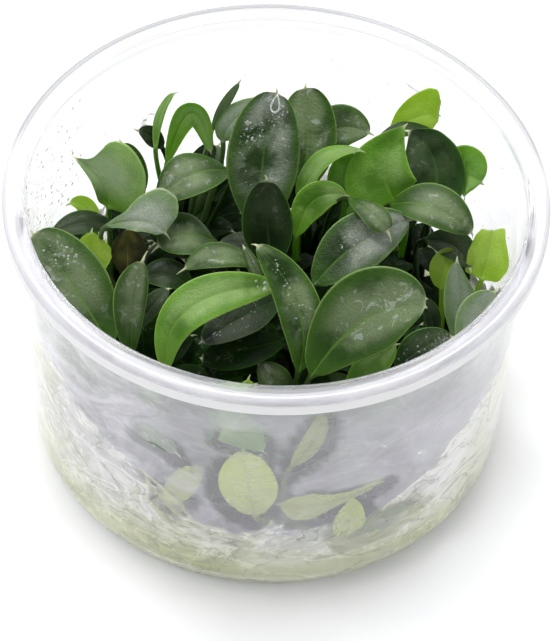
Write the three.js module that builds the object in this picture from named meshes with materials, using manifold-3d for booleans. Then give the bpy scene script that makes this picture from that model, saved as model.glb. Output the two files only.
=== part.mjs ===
// Tissue culture cup of Piptospatha ridleyi: a clear plastic cup with a wide rim, a disc of pale
// jelly on its floor, and a crowd of small shoots whose dark leaves fill the cup up to the rim.
// Millimetres, +Z up, origin at the centre of the cup's underside. The viewer stands at -Y.

import * as THREE from 'three';
import { mergeVertices } from 'three/addons/utils/BufferGeometryUtils.js';
import Module from 'manifold-3d';

// Cup
const CUP_HEIGHT = 62.5;
const RIM_RADIUS = 50;
const RIM_BAND = 3.6;
const RIM_EDGE = 0.5;
const RIM_GROOVE_RADIUS = 48.4;
const RIM_GROOVE = 0.4;
const LIP_RADIUS = 45.9;
const LIP_DEPTH = 4.5;
const WALL_RADIUS_TOP = 47.4;
const WALL_RADIUS_FOOT = 46.6;
const WALL = 1.0;
const FOOT_FILLET = 4.6;
const FLOOR = 1.2;
const CUP_SEGMENTS = 36;

// Jelly that the shoots are planted in
const GAP = 0.3;
const JELLY_TOP = 9.5;
const JELLY_MENISCUS = 0.7;
const JELLY_MENISCUS_WIDTH = 1;
const JELLY_SEGMENTS = 28;
const PIT_OVERSHOOT = 1;

// Shoots
const STEM_RADIUS = 2.1;
const STEM_DEPTH = 3.2;
const STEM_RISE = 3.4;
const STEM_FOOT_SHARE = 0.8;
const STEM_SHOULDER_SHARE = 0.7;
const STEM_SHOULDER_DROP = 0.6;
const STEM_SEGMENTS = 8;
const STALK_FOOT = 1.0;
const STALK_RADIUS_FOOT = 0.75;
const STALK_RADIUS_TOP = 0.5;
const STALK_SPREAD = 38;
const STALK_SPREAD_ROUNDS = 60;
const STALK_LIFT = 0.4;
const STALK_ARRIVAL = 0.16;
const YOUNG_START_SHARE = 0.35;

// Leaf blades. Each kind of leaf has its own number of steps in the stalk, its stations along the
// blade, its points across the blade and the angles of a stalk ring in the order of those points.
const GROWN = {
  steps: 3,
  stations: [0, 0.17, 0.42, 0.66, 0.87, 1],
  across: [-1, -0.5, 0, 0.5, 1],
  angles: [180, 135, 90, 45, 0, -90],
};
const YOUNG = {
  steps: 2,
  stations: [0, 0.3, 0.62, 0.92],
  across: [-1, 0, 1],
  angles: [180, 90, 0, -90],
};
const LOW = {
  steps: 1,
  stations: [0, 0.45, 0.85],
  across: [-1, 1],
  angles: [180, 0, -90],
};
const BLADE_THICKNESS = 0.5;
const BLADE_FOLD = 12;
const BLADE_PEAK = 0.5;
const BLADE_BLUNT = 0.6;
const BLADE_SWELL = 0.85;
const TIP_HALF_WIDTH = 0.3;
const TAIL = 2.2;
const TAIL_SHARE = 0.45;

// Undergrowth: small leaves low among the others, placed by rule
const UNDER_SEED = 8;
const UNDER_COUNT = 4;
const UNDER_TRIES = 300;
const UNDER_LEAN = [35, 85];
const UNDER_OUT = [2.5, 8];
const UNDER_HEIGHT = [14, 26];
const UNDER_LENGTH = [11, 17];
const UNDER_ARCH = [0.05, 0.16];
const UNDER_WIDTH = [6.5, 9.5];
const UNDER_FOLD = 6;
const UNDER_TONES = ['dark', 'dark', 'dark', 'grey', 'bright'];
const UNDER_REACH = 43.2;
const UNDER_CLEAR = 1.9;
const SPREAD_ALONG = [0, 0.1, 0.2, 0.3, 0.4, 0.5, 0.6, 0.7, 0.8, 0.9, 1];
const SPREAD_STALK = [0.1, 0.2, 0.3, 0.4, 0.5, 0.6, 0.7, 0.8, 0.9];
const STALK_FEET = 3;
const DRAW_FACTOR = 16807;
const DRAW_LIMIT = 2147483647;

const WELD_DISTANCE = 1e-4;

const jellyStyle = { color: 0xc9cf9a, roughness: 0.35, metalness: 0 };
const cupStyle = { color: 0xeef0f4, roughness: 0.2, metalness: 0, transparent: true, opacity: 0.35 };
const stemStyle = { color: 0x6f8a45, roughness: 0.6, metalness: 0 };
const leafStyles = {
  dark: { color: 0x27401f, roughness: 0.35, metalness: 0 },
  grey: { color: 0x5f7a5c, roughness: 0.35, metalness: 0 },
  bright: { color: 0x5f9a2e, roughness: 0.4, metalness: 0 },
  lime: { color: 0x96bf3c, roughness: 0.45, metalness: 0 },
  pale: { color: 0x9db38c, roughness: 0.45, metalness: 0 },
};

// One leaf: its blade starts at `base`, its midrib passes `mid` and ends at `tip`. The upper side
// faces `heading` (0 to the viewer, 90 to the right) raised by `rise` degrees. What sets a leaf apart
// is in `more`: the fold along its midrib, where it is widest (peak), how it swells and blunts there,
// how much wider one half is (uneven), its tail as a share of TAIL, and the side its stalk starts on.
function leaf(name, tone, base, mid, tip, width, heading, rise, more = {}) {
  return { name, tone, base, mid, tip, width, heading, rise, ...more };
}

// The shoots, each with its place in the jelly, its grown leaves and its young leaves, which are
// one piece with the stem.
const SHOOTS = [
  {
    name: 'shoot_left',
    at: [-31, 4],
    leaves: [
      leaf('leaf_left_winged', 'grey', [-32.3, 13.2, 40.3], [-33.8, 14.4, 46], [-38.5, 16.7, 50], 7.5, -30,
        40, { fold: 20, peak: 0.7, blunt: 0.8, swell: 1, uneven: 0.5, side: 95 }),
      leaf('leaf_left_round', 'grey', [-27.9, 14.4, 40], [-28.6, 16.3, 46.5], [-29.9, 18.3, 53], 6.5, 15,
        50, { blunt: 0.5, side: 12 }),
      leaf('leaf_left_cupped', 'pale', [-32, 5.8, 43.4], [-26.1, 5, 46], [-21, 4.2, 44.2], 8.5, 0, 60,
        { peak: 0.62, blunt: 0.4, swell: 1.7, uneven: -0.6, tail: 1, side: -19 }),
      leaf('leaf_left_pointing', 'dark', [-31, 10.6, 37.5], [-36, 8.9, 41], [-42.3, 5.6, 41], 6, 0, 85,
        { side: 57 }),
    ],
    young: [
      leaf('young_a', 'lime', [-34.5, 9, 37], [-36.5, 13, 40], [-39.5, 12.5, 42], 4, 0, 60),
      leaf('young_b', 'lime', [-33.3, 0.6, 34.5], [-34.8, 2.8, 38], [-35.8, 4.6, 40], 5.5, 20, 40),
      leaf('young_c', 'dark', [-28.8, 1, 32.5], [-29, 3.2, 36.5], [-28.8, 5.4, 40], 6.5, 0, 50),
    ],
  },
  {
    name: 'shoot_back_left',
    at: [-19, 24],
    leaves: [
      leaf('leaf_back_arched', 'bright', [-21.7, 22, 44], [-17.4, 26.8, 53.7], [-13.3, 23.2, 47.2], 5, 0,
        20),
      leaf('leaf_back_leaning', 'pale', [-11, 27, 46], [-9.5, 28.5, 50], [-4, 31, 54], 6, -20, 45),
      leaf('leaf_back_broad', 'grey', [-9.5, 20, 45.5], [-16.5, 15, 49], [-23, 12.5, 44.5], 10.5, -10, 75),
    ],
    young: [
      leaf('young_a', 'bright', [-24, 24, 46], [-23.5, 28, 51], [-21, 30.5, 55], 3, -60, 30),
      leaf('young_b', 'dark', [-23, 28.5, 42], [-25, 28.5, 45], [-27.5, 28, 47], 4, 0, 60),
      leaf('young_c', 'pale', [-13.5, 29, 46], [-11.5, 30.5, 52], [-8.5, 32, 57], 3.2, 60, 30),
    ],
  },
  {
    name: 'shoot_centre',
    at: [-6, 3],
    leaves: [
      leaf('leaf_centre_tall', 'grey', [-2.5, 9.5, 38], [-3, 19, 50], [-1, 27, 60], 14.2, 0, 42,
        { blunt: 0.45, fold: 8 }),
      leaf('leaf_centre_upright', 'dark', [0, 2, 37], [-1.5, 6.5, 45], [-2, 10.5, 53], 10, 0, 38,
        { blunt: 0.5 }),
      leaf('leaf_centre_left', 'grey', [-2, -1, 41], [-9.5, -1.5, 44.5], [-16.5, -3.5, 43], 7, 180, 80,
        { peak: 0.6, tail: 1 }),
      leaf('leaf_centre_low', 'grey', [-11.5, 8.5, 37.5], [-16.8, 6.3, 41.8], [-22, 4, 40.6], 8.5, 0, 80,
        { tail: 1 }),
      leaf('leaf_centre_shaded', 'dark', [-15.5, -1.5, 35], [-20, 0, 37], [-25, -0.5, 36], 6.5, 0, 70),
    ],
    young: [
      leaf('young_a', 'grey', [-2, -6, 42], [-3.5, -4.5, 45], [-5.5, -1.5, 47], 2.5, 0, 50),
    ],
  },
  {
    name: 'shoot_back',
    at: [7, 19],
    leaves: [
      leaf('leaf_back_tall', 'grey', [5, 21.5, 38], [5.5, 29.5, 46], [4.5, 36, 53], 11.5, 15, 42,
        { blunt: 0.42 }),
      leaf('leaf_back_right', 'grey', [7.5, 31, 42], [11.5, 34, 44.5], [17.5, 32, 45.5], 9.5, 0, 45),
      leaf('leaf_back_curved', 'bright', [4.5, 14.2, 43], [8, 18.2, 50.5], [15.5, 19.2, 53.5], 7.5, 180, 75),
      leaf('leaf_middle_rolled', 'bright', [4, 7.6, 40.5], [7, 11.6, 47], [13, 12.1, 48.3], 6.5, 0, 60),
      leaf('leaf_middle_narrow', 'grey', [13.6, 9.4, 50.3], [17.6, 5.2, 51.7], [20.9, 1.6, 50.5], 5.2, 0,
        85, { peak: 0.65, blunt: 0.4, tail: 1 }),
    ],
    young: [
      leaf('young_a', 'lime', [13, 17.5, 41], [12.5, 20, 45], [14, 23, 49], 4, 20, 40),
    ],
  },
  {
    name: 'shoot_back_right',
    at: [27, 19],
    leaves: [
      leaf('leaf_right_lit', 'bright', [23.5, 14.5, 44], [20.5, 17.5, 50], [23.5, 22.5, 57], 12.6, -20, 42,
        { peak: 0.32, blunt: 1, uneven: -0.33, side: -155 }),
      leaf('leaf_right_dark', 'dark', [30.3, 16.8, 43], [30, 22, 49], [24.9, 23.9, 56], 12, 30, 42,
        { uneven: 0.15 }),
      leaf('leaf_right_edge', 'bright', [34, 23.4, 42], [36.4, 22.3, 45], [39.2, 19.8, 45.6], 8, 0, 45,
        { blunt: 0.5, tail: 0.3 }),
      leaf('leaf_right_top', 'lime', [21.5, 30.5, 47], [25.8, 31, 51], [30.3, 29.4, 53.8], 7, 0, 45,
        { peak: 0.72, blunt: 0.25, tail: 0.2 }),
      leaf('leaf_right_bowed', 'dark', [30, 26.7, 51.8], [23, 25.9, 52.6], [17, 23.2, 48.8], 6.5, 180, 70),
      leaf('leaf_right_grey', 'grey', [21.5, 11.5, 47], [29, 8.5, 50.5], [37, 5, 47.5], 10, 20, 85,
        { side: -105 }),
    ],
    young: [],
  },
  {
    name: 'shoot_right',
    at: [34, 1],
    leaves: [
      leaf('leaf_right_under', 'dark', [28.5, 7.5, 42], [34, 5.5, 43], [37.2, 1.5, 41.3], 7, 0, 80),
      leaf('leaf_right_lime', 'lime', [40, 0.8, 39], [40.7, 3.3, 43], [41, 7, 46], 6.8, 0, 40,
        { blunt: 0.3, tail: 0.2 }),
    ],
    young: [
      leaf('young_a', 'lime', [32, -0.5, 35], [32, 1, 39], [34, 3, 41], 4, 0, 40),
    ],
  },
  {
    name: 'shoot_front_right',
    at: [29, -15],
    leaves: [
      leaf('leaf_right_pale', 'pale', [35.5, -14.5, 36], [35, -10.5, 44.5], [33.6, -7.3, 52.5], 6.5, -30, 35),
      leaf('leaf_right_wall', 'pale', [36, -19, 39], [38, -15.5, 46.5], [41, -13.5, 52], 7, -10, 40),
      leaf('leaf_front_speckled', 'grey', [24, -19, 34], [28, -17, 39], [33.5, -15.5, 41], 7, 0, 65),
    ],
    young: [
      leaf('young_a', 'dark', [31, -13.5, 36], [30, -12.5, 42], [28.5, -11, 46], 3.5, 40, 40),
    ],
  },
  {
    name: 'shoot_middle',
    at: [8, -4],
    leaves: [
      leaf('leaf_middle_shiny', 'grey', [7.5, -3.2, 39], [15.5, 2.1, 45.8], [25, 6.1, 48.8], 11.5, -10, 60),
      leaf('leaf_front_dusky', 'grey', [1.5, -5.5, 38], [-5.5, -12.5, 40], [-12.5, -17, 38], 7, 0, 70),
      leaf('leaf_front_shaded', 'dark', [3, -12, 34], [-5, -17, 36], [-12.5, -17, 33], 6.5, 0, 75),
      leaf('leaf_front_lowest', 'dark', [1.5, -11, 29], [-6.5, -17.5, 31.5], [-18, -19, 29.5], 5, 0, 75),
    ],
    young: [],
  },
  {
    name: 'shoot_front',
    at: [8, -24],
    leaves: [
      leaf('leaf_front_slender', 'grey', [5.5, -24.5, 39], [5, -18, 50], [-3, -10.5, 58], 8.4, 20, 45),
      leaf('leaf_front_broad', 'grey', [7.5, -26.5, 40], [17, -20, 50], [27.5, -20.5, 55], 14, -10, 48,
        { blunt: 0.5, peak: 0.55 }),
      leaf('leaf_front_under', 'bright', [14.5, -24, 34], [19, -21.5, 39], [23, -19, 42], 6, 0, 60),
    ],
    young: [],
  },
  {
    name: 'shoot_front_left',
    at: [-23, -18],
    leaves: [
      leaf('leaf_left_big', 'grey', [-28.5, -23, 41], [-36.4, -14.7, 49.5], [-43.9, -8, 55.3], 11.8, 20, 50,
        { blunt: 0.42, uneven: 0.15 }),
      leaf('leaf_left_second', 'grey', [-25.2, -21.6, 38], [-25.1, -17, 46.5], [-23.8, -11.4, 53], 6.4, 30,
        45, { uneven: -0.3, peak: 0.62, tail: 1 }),
      leaf('leaf_front_arched', 'bright', [-18.5, -26, 39], [-15, -19.5, 50], [0.5, -13, 50], 8.6, -30, 60,
        { peak: 0.6, blunt: 0.5 }),
    ],
    young: [
      leaf('young_a', 'dark', [-26, -14, 36], [-22.5, -12, 41], [-19.5, -8.5, 42.5], 4, 0, 75),
    ],
  },
  {
    name: 'shoot_wall_left',
    at: [-13, -31],
    leaves: [
      leaf('leaf_wall_dark', 'dark', [-22.5, -34, 38], [-19, -39, 41], [-15, -41.5, 38.5], 4.5, -25, 30),
      leaf('leaf_wall_upper', 'bright', [-8, -37, 45], [-5.5, -42.3, 49.5], [-0.5, -43.7, 44], 7.5, -5, 35,
        { side: 20 }),
    ],
    young: [
      leaf('young_a', 'pale', [-10, -37, 29], [-13, -40.5, 27], [-16, -40.5, 21.5], 4.5, -20, 20),
    ],
  },
  {
    name: 'shoot_wall',
    at: [4, -36],
    leaves: [
      leaf('leaf_wall_oval', 'lime', [-1, -43.4, 20.8], [-2.5, -43.6, 31.2], [-3.5, -43.4, 41.5], 11, 0, 0,
        { peak: 0.5, blunt: 0.5 }),
      leaf('leaf_wall_strap', 'pale', [5, -43.8, 38], [8, -43.8, 45.5], [9.5, -43.5, 54], 4.5, 10, 5),
      leaf('leaf_wall_level', 'pale', [21, -38, 27], [11, -42.2, 25.5], [3.2, -42.8, 24.6], 8, 15, 5),
      leaf('leaf_wall_low', 'lime', [14.5, -40, 12.5], [15.5, -40, 18], [16, -39, 23.5], 6, 20, 5),
      leaf('leaf_wall_right', 'bright', [17.5, -38.5, 12.5], [21.5, -37.5, 15.5], [26, -34.8, 14.5], 5, 30,
        20),
    ],
    young: [
      leaf('young_a', 'lime', [-4, -31, 33], [-3.5, -30, 38], [-3.5, -29, 42], 4.6, 0, 40),
      leaf('young_b', 'pale', [11, -37.4, 33.5], [16.8, -36, 36.2], [22.5, -33, 34.5], 3.6, 30, 10),
    ],
  },
];

const group = new THREE.Group();
group.name = 'piptospatha_tissue_culture_cup';

const UP = new THREE.Vector3(0, 0, 1);
const wasm = await Module();
wasm.setup();

function vec(point) {
  return new THREE.Vector3(point[0], point[1], point[2]);
}

function radians(degrees) {
  return THREE.MathUtils.degToRad(degrees);
}

function addPiece(name, geometry, style) {
  const mesh = new THREE.Mesh(geometry, new THREE.MeshStandardMaterial(style));
  mesh.name = name;
  group.add(mesh);
}

// Geometry helpers

function bareGeometry(geometry) {
  const bare = geometry.clone();
  bare.deleteAttribute('normal');
  bare.deleteAttribute('uv');
  return mergeVertices(bare, WELD_DISTANCE);
}

function toSolid(geometry) {
  const bare = bareGeometry(geometry);
  const vertProperties = new Float32Array(bare.attributes.position.array);
  const triVerts = new Uint32Array(bare.index.array);
  return new wasm.Manifold(new wasm.Mesh({ numProp: 3, vertProperties, triVerts }));
}

function toGeometry(solid) {
  const mesh = solid.getMesh();
  const geometry = new THREE.BufferGeometry();
  geometry.setAttribute('position', new THREE.BufferAttribute(mesh.vertProperties, 3));
  geometry.setIndex(new THREE.BufferAttribute(mesh.triVerts, 1));
  return geometry;
}

// A solid of revolution about Z from a closed list of [radius, height] points.
function turned(points, segments) {
  const profile = points.map(([radius, height]) => new THREE.Vector2(radius, height));
  const geometry = new THREE.LatheGeometry(profile, segments);
  geometry.rotateX(Math.PI / 2);
  return bareGeometry(geometry);
}

// Points of an arc in the profile plane, angles in degrees from the radius direction.
function arc(radius, height, size, from, to, steps) {
  const points = [];
  for (let i = 0; i <= steps; i += 1) {
    const angle = radians(from + ((to - from) * i) / steps);
    points.push([radius + size * Math.cos(angle), height + size * Math.sin(angle)]);
  }
  return points;
}

// Closes rings of equal length into one solid, with a flat cap first and a point or cap last.
function loft(rings, endPoint) {
  const count = rings[0].length;
  const positions = [];
  rings.forEach((ring) => ring.forEach((p) => positions.push(p.x, p.y, p.z)));
  const index = [];
  for (let r = 0; r + 1 < rings.length; r += 1) {
    for (let i = 0; i < count; i += 1) {
      const a = r * count + i;
      const b = r * count + ((i + 1) % count);
      index.push(a, b, b + count, a, b + count, a + count);
    }
  }
  for (let i = 1; i + 1 < count; i += 1) {
    index.push(0, i + 1, i);
  }
  const last = (rings.length - 1) * count;
  const apex = positions.length / 3;
  positions.push(endPoint.x, endPoint.y, endPoint.z);
  for (let i = 0; i < count; i += 1) {
    index.push(last + i, last + ((i + 1) % count), apex);
  }
  const geometry = new THREE.BufferGeometry();
  geometry.setAttribute('position', new THREE.Float32BufferAttribute(positions, 3));
  geometry.setIndex(index);
  return geometry;
}

// Cup

function innerRadius(height) {
  const t = (height - FOOT_FILLET) / (CUP_HEIGHT - RIM_BAND - FOOT_FILLET);
  return WALL_RADIUS_FOOT + (WALL_RADIUS_TOP - WALL_RADIUS_FOOT) * t - WALL;
}

function makeCup() {
  const bandFoot = CUP_HEIGHT - RIM_BAND;
  const footRadius = WALL_RADIUS_FOOT - FOOT_FILLET;
  const outside = [
    [0, 0],
    ...arc(footRadius, FOOT_FILLET, FOOT_FILLET, -90, 0, 3),
    [WALL_RADIUS_TOP, bandFoot],
    [RIM_RADIUS - RIM_EDGE / 2, bandFoot],
    [RIM_RADIUS, bandFoot + RIM_EDGE],
    [RIM_RADIUS, CUP_HEIGHT - RIM_EDGE],
    [RIM_RADIUS - RIM_EDGE, CUP_HEIGHT],
  ];
  const top = [
    [RIM_GROOVE_RADIUS + RIM_GROOVE, CUP_HEIGHT],
    [RIM_GROOVE_RADIUS, CUP_HEIGHT - RIM_GROOVE],
    [RIM_GROOVE_RADIUS - RIM_GROOVE, CUP_HEIGHT],
    [LIP_RADIUS + RIM_EDGE, CUP_HEIGHT],
    [LIP_RADIUS, CUP_HEIGHT - RIM_EDGE],
  ];
  const innerFillet = FOOT_FILLET - WALL;
  const inside = [
    [innerRadius(CUP_HEIGHT - LIP_DEPTH), CUP_HEIGHT - LIP_DEPTH],
    ...arc(footRadius, FLOOR + innerFillet, innerFillet, 0, -90, 3),
    [0, FLOOR],
  ];
  return turned([...outside, ...top, ...inside], CUP_SEGMENTS);
}

// Shoots and leaves

function faceDirection(heading, rise) {
  const h = radians(heading);
  const r = radians(rise);
  return new THREE.Vector3(Math.sin(h) * Math.cos(r), -Math.cos(h) * Math.cos(r), Math.sin(r));
}

function square(direction, tangent) {
  return direction.clone().addScaledVector(tangent, -direction.dot(tangent)).normalize();
}

function bladeShape(spec) {
  const base = vec(spec.base);
  const tip = vec(spec.tip);
  const control = vec(spec.mid).multiplyScalar(2).sub(base.clone().add(tip).multiplyScalar(0.5));
  return new THREE.QuadraticBezierCurve3(base, control, tip);
}

// Half width of a blade along its midrib: it swells to its peak and rounds off to the tip.
function halfWidth(spec, s) {
  const peak = spec.peak ?? BLADE_PEAK;
  const blunt = spec.blunt ?? BLADE_BLUNT;
  if (s >= 1) {
    return TIP_HALF_WIDTH;
  }
  const rising = s < peak;
  const u = rising ? (s - peak) / peak : (s - peak) / (1 - peak);
  const power = rising ? spec.swell ?? BLADE_SWELL : blunt;
  const swell = Math.cos((Math.PI / 2) * Math.abs(u)) ** power;
  return STALK_RADIUS_TOP + (spec.width / 2 - STALK_RADIUS_TOP) * swell;
}

function bladeRing(spec, curve, s, places) {
  const centre = curve.getPoint(s);
  const tangent = curve.getTangent(s);
  const normal = square(faceDirection(spec.heading, spec.rise), tangent);
  const across = tangent.clone().cross(normal);
  const fold = radians(spec.fold ?? BLADE_FOLD);
  const uneven = spec.uneven ?? 0;
  const half = halfWidth(spec, s);
  const ring = places.map((v) => {
    const reach = half * Math.abs(v);
    return centre.clone()
      .addScaledVector(across, Math.sign(v) * reach * (1 + uneven * Math.sign(v)) * Math.cos(fold))
      .addScaledVector(normal, reach * Math.sin(fold));
  });
  ring.push(centre.clone().addScaledVector(normal, -BLADE_THICKNESS));
  return { ring, normal };
}

function stalkPath(spec, start, curve) {
  const base = vec(spec.base);
  const reach = start.distanceTo(base);
  const lift = start.clone().addScaledVector(UP, reach * STALK_LIFT);
  const join = base.clone().addScaledVector(curve.getTangent(0), -reach * STALK_ARRIVAL);
  return new THREE.CubicBezierCurve3(start, lift, join, base);
}

function stalkRings(path, kind, bladeNormal) {
  const rings = [];
  let normal = bladeNormal;
  for (let i = kind.steps - 1; i >= 0; i -= 1) {
    const t = i / kind.steps;
    const tangent = path.getTangent(t);
    normal = square(normal, tangent);
    const across = tangent.clone().cross(normal);
    const radius = THREE.MathUtils.lerp(STALK_RADIUS_FOOT, STALK_RADIUS_TOP, t);
    const centre = path.getPoint(t);
    rings.unshift(kind.angles.map((angle) => centre.clone()
      .addScaledVector(across, radius * Math.cos(radians(angle)))
      .addScaledVector(normal, radius * Math.sin(radians(angle)))));
  }
  return rings;
}

function makeLeaf(spec, start, kind) {
  const curve = bladeShape(spec);
  const blade = kind.stations.map((s) => bladeRing(spec, curve, s, kind.across));
  const rings = stalkRings(stalkPath(spec, start, curve), kind, blade[0].normal);
  blade.forEach(({ ring }) => rings.push(ring));
  const tail = TAIL * (spec.tail ?? TAIL_SHARE);
  const end = curve.getPoint(1).addScaledVector(curve.getTangent(1), tail);
  return loft(rings, end);
}

// The side of the stem that each leaf leaves from: towards its blade, but no two closer than
// STALK_SPREAD degrees.
function stalkAngles(shoot) {
  const wanted = shoot.leaves.map((spec, i) => {
    const angle = Math.atan2(spec.base[1] - shoot.at[1], spec.base[0] - shoot.at[0]);
    return { i, angle: spec.side ?? THREE.MathUtils.radToDeg(angle) };
  });
  wanted.sort((a, b) => a.angle - b.angle);
  const count = wanted.length;
  for (let round = 0; round < STALK_SPREAD_ROUNDS && count > 1; round += 1) {
    for (let k = 0; k < count; k += 1) {
      const next = (k + 1) % count;
      const turn = next === 0 ? 360 : 0;
      const short = STALK_SPREAD - (wanted[next].angle + turn - wanted[k].angle);
      if (short > 0) {
        wanted[k].angle -= short / 2;
        wanted[next].angle += short / 2;
      }
    }
  }
  const angles = [];
  wanted.forEach(({ i, angle }) => {
    angles[i] = angle;
  });
  return angles;
}

// Where the stalk of a grown leaf starts: on a ring close around the stem.
function grownStart(shoot, degrees) {
  const ring = STEM_RADIUS + GAP + STALK_RADIUS_FOOT;
  const angle = radians(degrees);
  return new THREE.Vector3(
    shoot.at[0] + ring * Math.cos(angle), shoot.at[1] + ring * Math.sin(angle), JELLY_TOP + STALK_FOOT);
}

// Where the stalk of a young leaf starts: inside the stem, towards its blade.
function youngStart(shoot, spec) {
  const toBlade = new THREE.Vector3(spec.base[0] - shoot.at[0], spec.base[1] - shoot.at[1], 0);
  toBlade.setLength(STEM_RADIUS * YOUNG_START_SHARE);
  return new THREE.Vector3(shoot.at[0], shoot.at[1], JELLY_TOP + STALK_FOOT).add(toBlade);
}

// Undergrowth

function drawFrom(seed) {
  let state = seed;
  return (low, high) => {
    state = (state * DRAW_FACTOR) % DRAW_LIMIT;
    return low + ((high - low) * state) / DRAW_LIMIT;
  };
}

// A small leaf that leans out from its shoot to any side.
function underLeaf(shoot, draw) {
  const turn = draw(0, 2 * Math.PI);
  const lean = radians(draw(...UNDER_LEAN));
  const out = new THREE.Vector3(Math.cos(turn), Math.sin(turn), 0);
  const base = new THREE.Vector3(shoot.at[0], shoot.at[1], 0).addScaledVector(out, draw(...UNDER_OUT));
  base.z = draw(...UNDER_HEIGHT);
  const length = draw(...UNDER_LENGTH);
  const tip = base.clone().addScaledVector(out, length * Math.sin(lean));
  tip.z += length * Math.cos(lean);
  const facing = out.clone().multiplyScalar(-Math.cos(lean)).addScaledVector(UP, Math.sin(lean));
  const mid = base.clone().add(tip).multiplyScalar(0.5);
  mid.addScaledVector(facing, length * draw(...UNDER_ARCH));
  const heading = THREE.MathUtils.radToDeg(Math.atan2(facing.x, -facing.y));
  const rise = THREE.MathUtils.radToDeg(Math.asin(facing.z));
  const width = draw(...UNDER_WIDTH);
  const tone = UNDER_TONES[Math.floor(draw(0, UNDER_TONES.length))];
  return leaf('low', tone, base.toArray(), mid.toArray(), tip.toArray(), width, heading, rise,
    { fold: UNDER_FOLD });
}

// Points over a leaf that show how near another one comes: up its stalk, then over its blade.
function spreadPoints(spec, start) {
  const curve = bladeShape(spec);
  const path = stalkPath(spec, start, curve);
  const stalk = SPREAD_STALK.map((t) => path.getPoint(t));
  const blade = SPREAD_ALONG.flatMap(
    (s) => bladeRing(spec, curve, s, GROWN.across).ring.slice(0, GROWN.across.length));
  return [...stalk, ...blade];
}

function isClear(points, others) {
  return points.every((p) => others.every((q) => p.distanceTo(q) > UNDER_CLEAR));
}

// Gives each shoot a few small leaves that stay inside the cup and clear of all the others. The
// stalks of young and small leaves start together in the stem, so their feet don't count.
function addUndergrowth() {
  const draw = drawFrom(UNDER_SEED);
  const grown = [];
  const young = [];
  SHOOTS.forEach((shoot) => {
    const angles = stalkAngles(shoot);
    shoot.leaves.forEach((spec, i) => grown.push(...spreadPoints(spec, grownStart(shoot, angles[i]))));
    shoot.young.forEach((spec) => {
      young.push(...spreadPoints(spec, youngStart(shoot, spec)).slice(STALK_FEET));
    });
  });
  SHOOTS.forEach((shoot) => {
    shoot.under = [];
    for (let i = 0; i < UNDER_TRIES && shoot.under.length < UNDER_COUNT; i += 1) {
      const spec = underLeaf(shoot, draw);
      const points = spreadPoints(spec, youngStart(shoot, spec));
      const inside = points.every((p) => Math.hypot(p.x, p.y) < UNDER_REACH);
      if (inside && isClear(points, grown) && isClear(points.slice(STALK_FEET), young)) {
        shoot.under.push(spec);
        young.push(...points.slice(STALK_FEET));
      }
    }
  });
}

function stemPoints(shoot) {
  const foot = JELLY_TOP - STEM_DEPTH;
  const head = JELLY_TOP + STEM_RISE;
  return [
    [0, foot],
    [STEM_RADIUS * STEM_FOOT_SHARE, foot],
    [STEM_RADIUS, JELLY_TOP],
    [STEM_RADIUS * STEM_SHOULDER_SHARE, head - STEM_SHOULDER_DROP],
    [0, head],
  ];
}

function makeShoot(shoot) {
  const stem = turned(stemPoints(shoot), STEM_SEGMENTS);
  stem.translate(shoot.at[0], shoot.at[1], 0);
  let solid = toSolid(stem);
  shoot.young.forEach((spec) => {
    solid = solid.add(toSolid(makeLeaf(spec, youngStart(shoot, spec), YOUNG)));
  });
  shoot.under.forEach((spec) => {
    solid = solid.add(toSolid(makeLeaf(spec, youngStart(shoot, spec), LOW)));
  });
  return toGeometry(solid);
}

function makeJelly() {
  const top = JELLY_TOP;
  const fillet = FOOT_FILLET - WALL;
  const side = innerRadius(top) - GAP;
  const points = [
    [0, FLOOR + GAP],
    ...arc(WALL_RADIUS_FOOT - FOOT_FILLET - GAP, FLOOR + fillet, fillet - GAP, -90, 0, 3),
    [side, top + JELLY_MENISCUS],
    [side - JELLY_MENISCUS_WIDTH, top],
    [0, top],
  ];
  let solid = toSolid(turned(points, JELLY_SEGMENTS));
  SHOOTS.forEach((shoot) => {
    const pit = new THREE.CylinderGeometry(
      STEM_RADIUS + GAP, STEM_RADIUS + GAP, STEM_DEPTH + GAP + PIT_OVERSHOOT, STEM_SEGMENTS);
    pit.rotateX(Math.PI / 2);
    pit.translate(shoot.at[0], shoot.at[1], top + (PIT_OVERSHOOT - STEM_DEPTH - GAP) / 2);
    solid = solid.subtract(toSolid(pit));
  });
  return toGeometry(solid);
}

addPiece('cup', makeCup(), cupStyle);
addPiece('jelly', makeJelly(), jellyStyle);

addUndergrowth();
SHOOTS.forEach((shoot) => {
  addPiece(shoot.name, makeShoot(shoot), stemStyle);
  const angles = stalkAngles(shoot);
  shoot.leaves.forEach((spec, i) => {
    addPiece(spec.name, makeLeaf(spec, grownStart(shoot, angles[i]), GROWN), leafStyles[spec.tone]);
  });
});

export default group;
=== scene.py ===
# %% [markdown]
# A culture cup of Piptospatha ridleyi, an aquarium plant raised in the laboratory. The real thing is
# a shallow cup of thin clear plastic with a wide rim, a disc of nutrient jelly on its floor, and
# twelve small shoots that crowd it with dark, waxy leaves. The plain solids of all this come from the
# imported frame. This script dresses them: every leaf gets its curved, veined blade, the jelly its
# roots, and the cup its mist and drops of water.

# %% Load the frame
import math

import bpy
import numpy as np
from mathutils import Matrix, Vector
from mathutils.kdtree import KDTree


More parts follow.
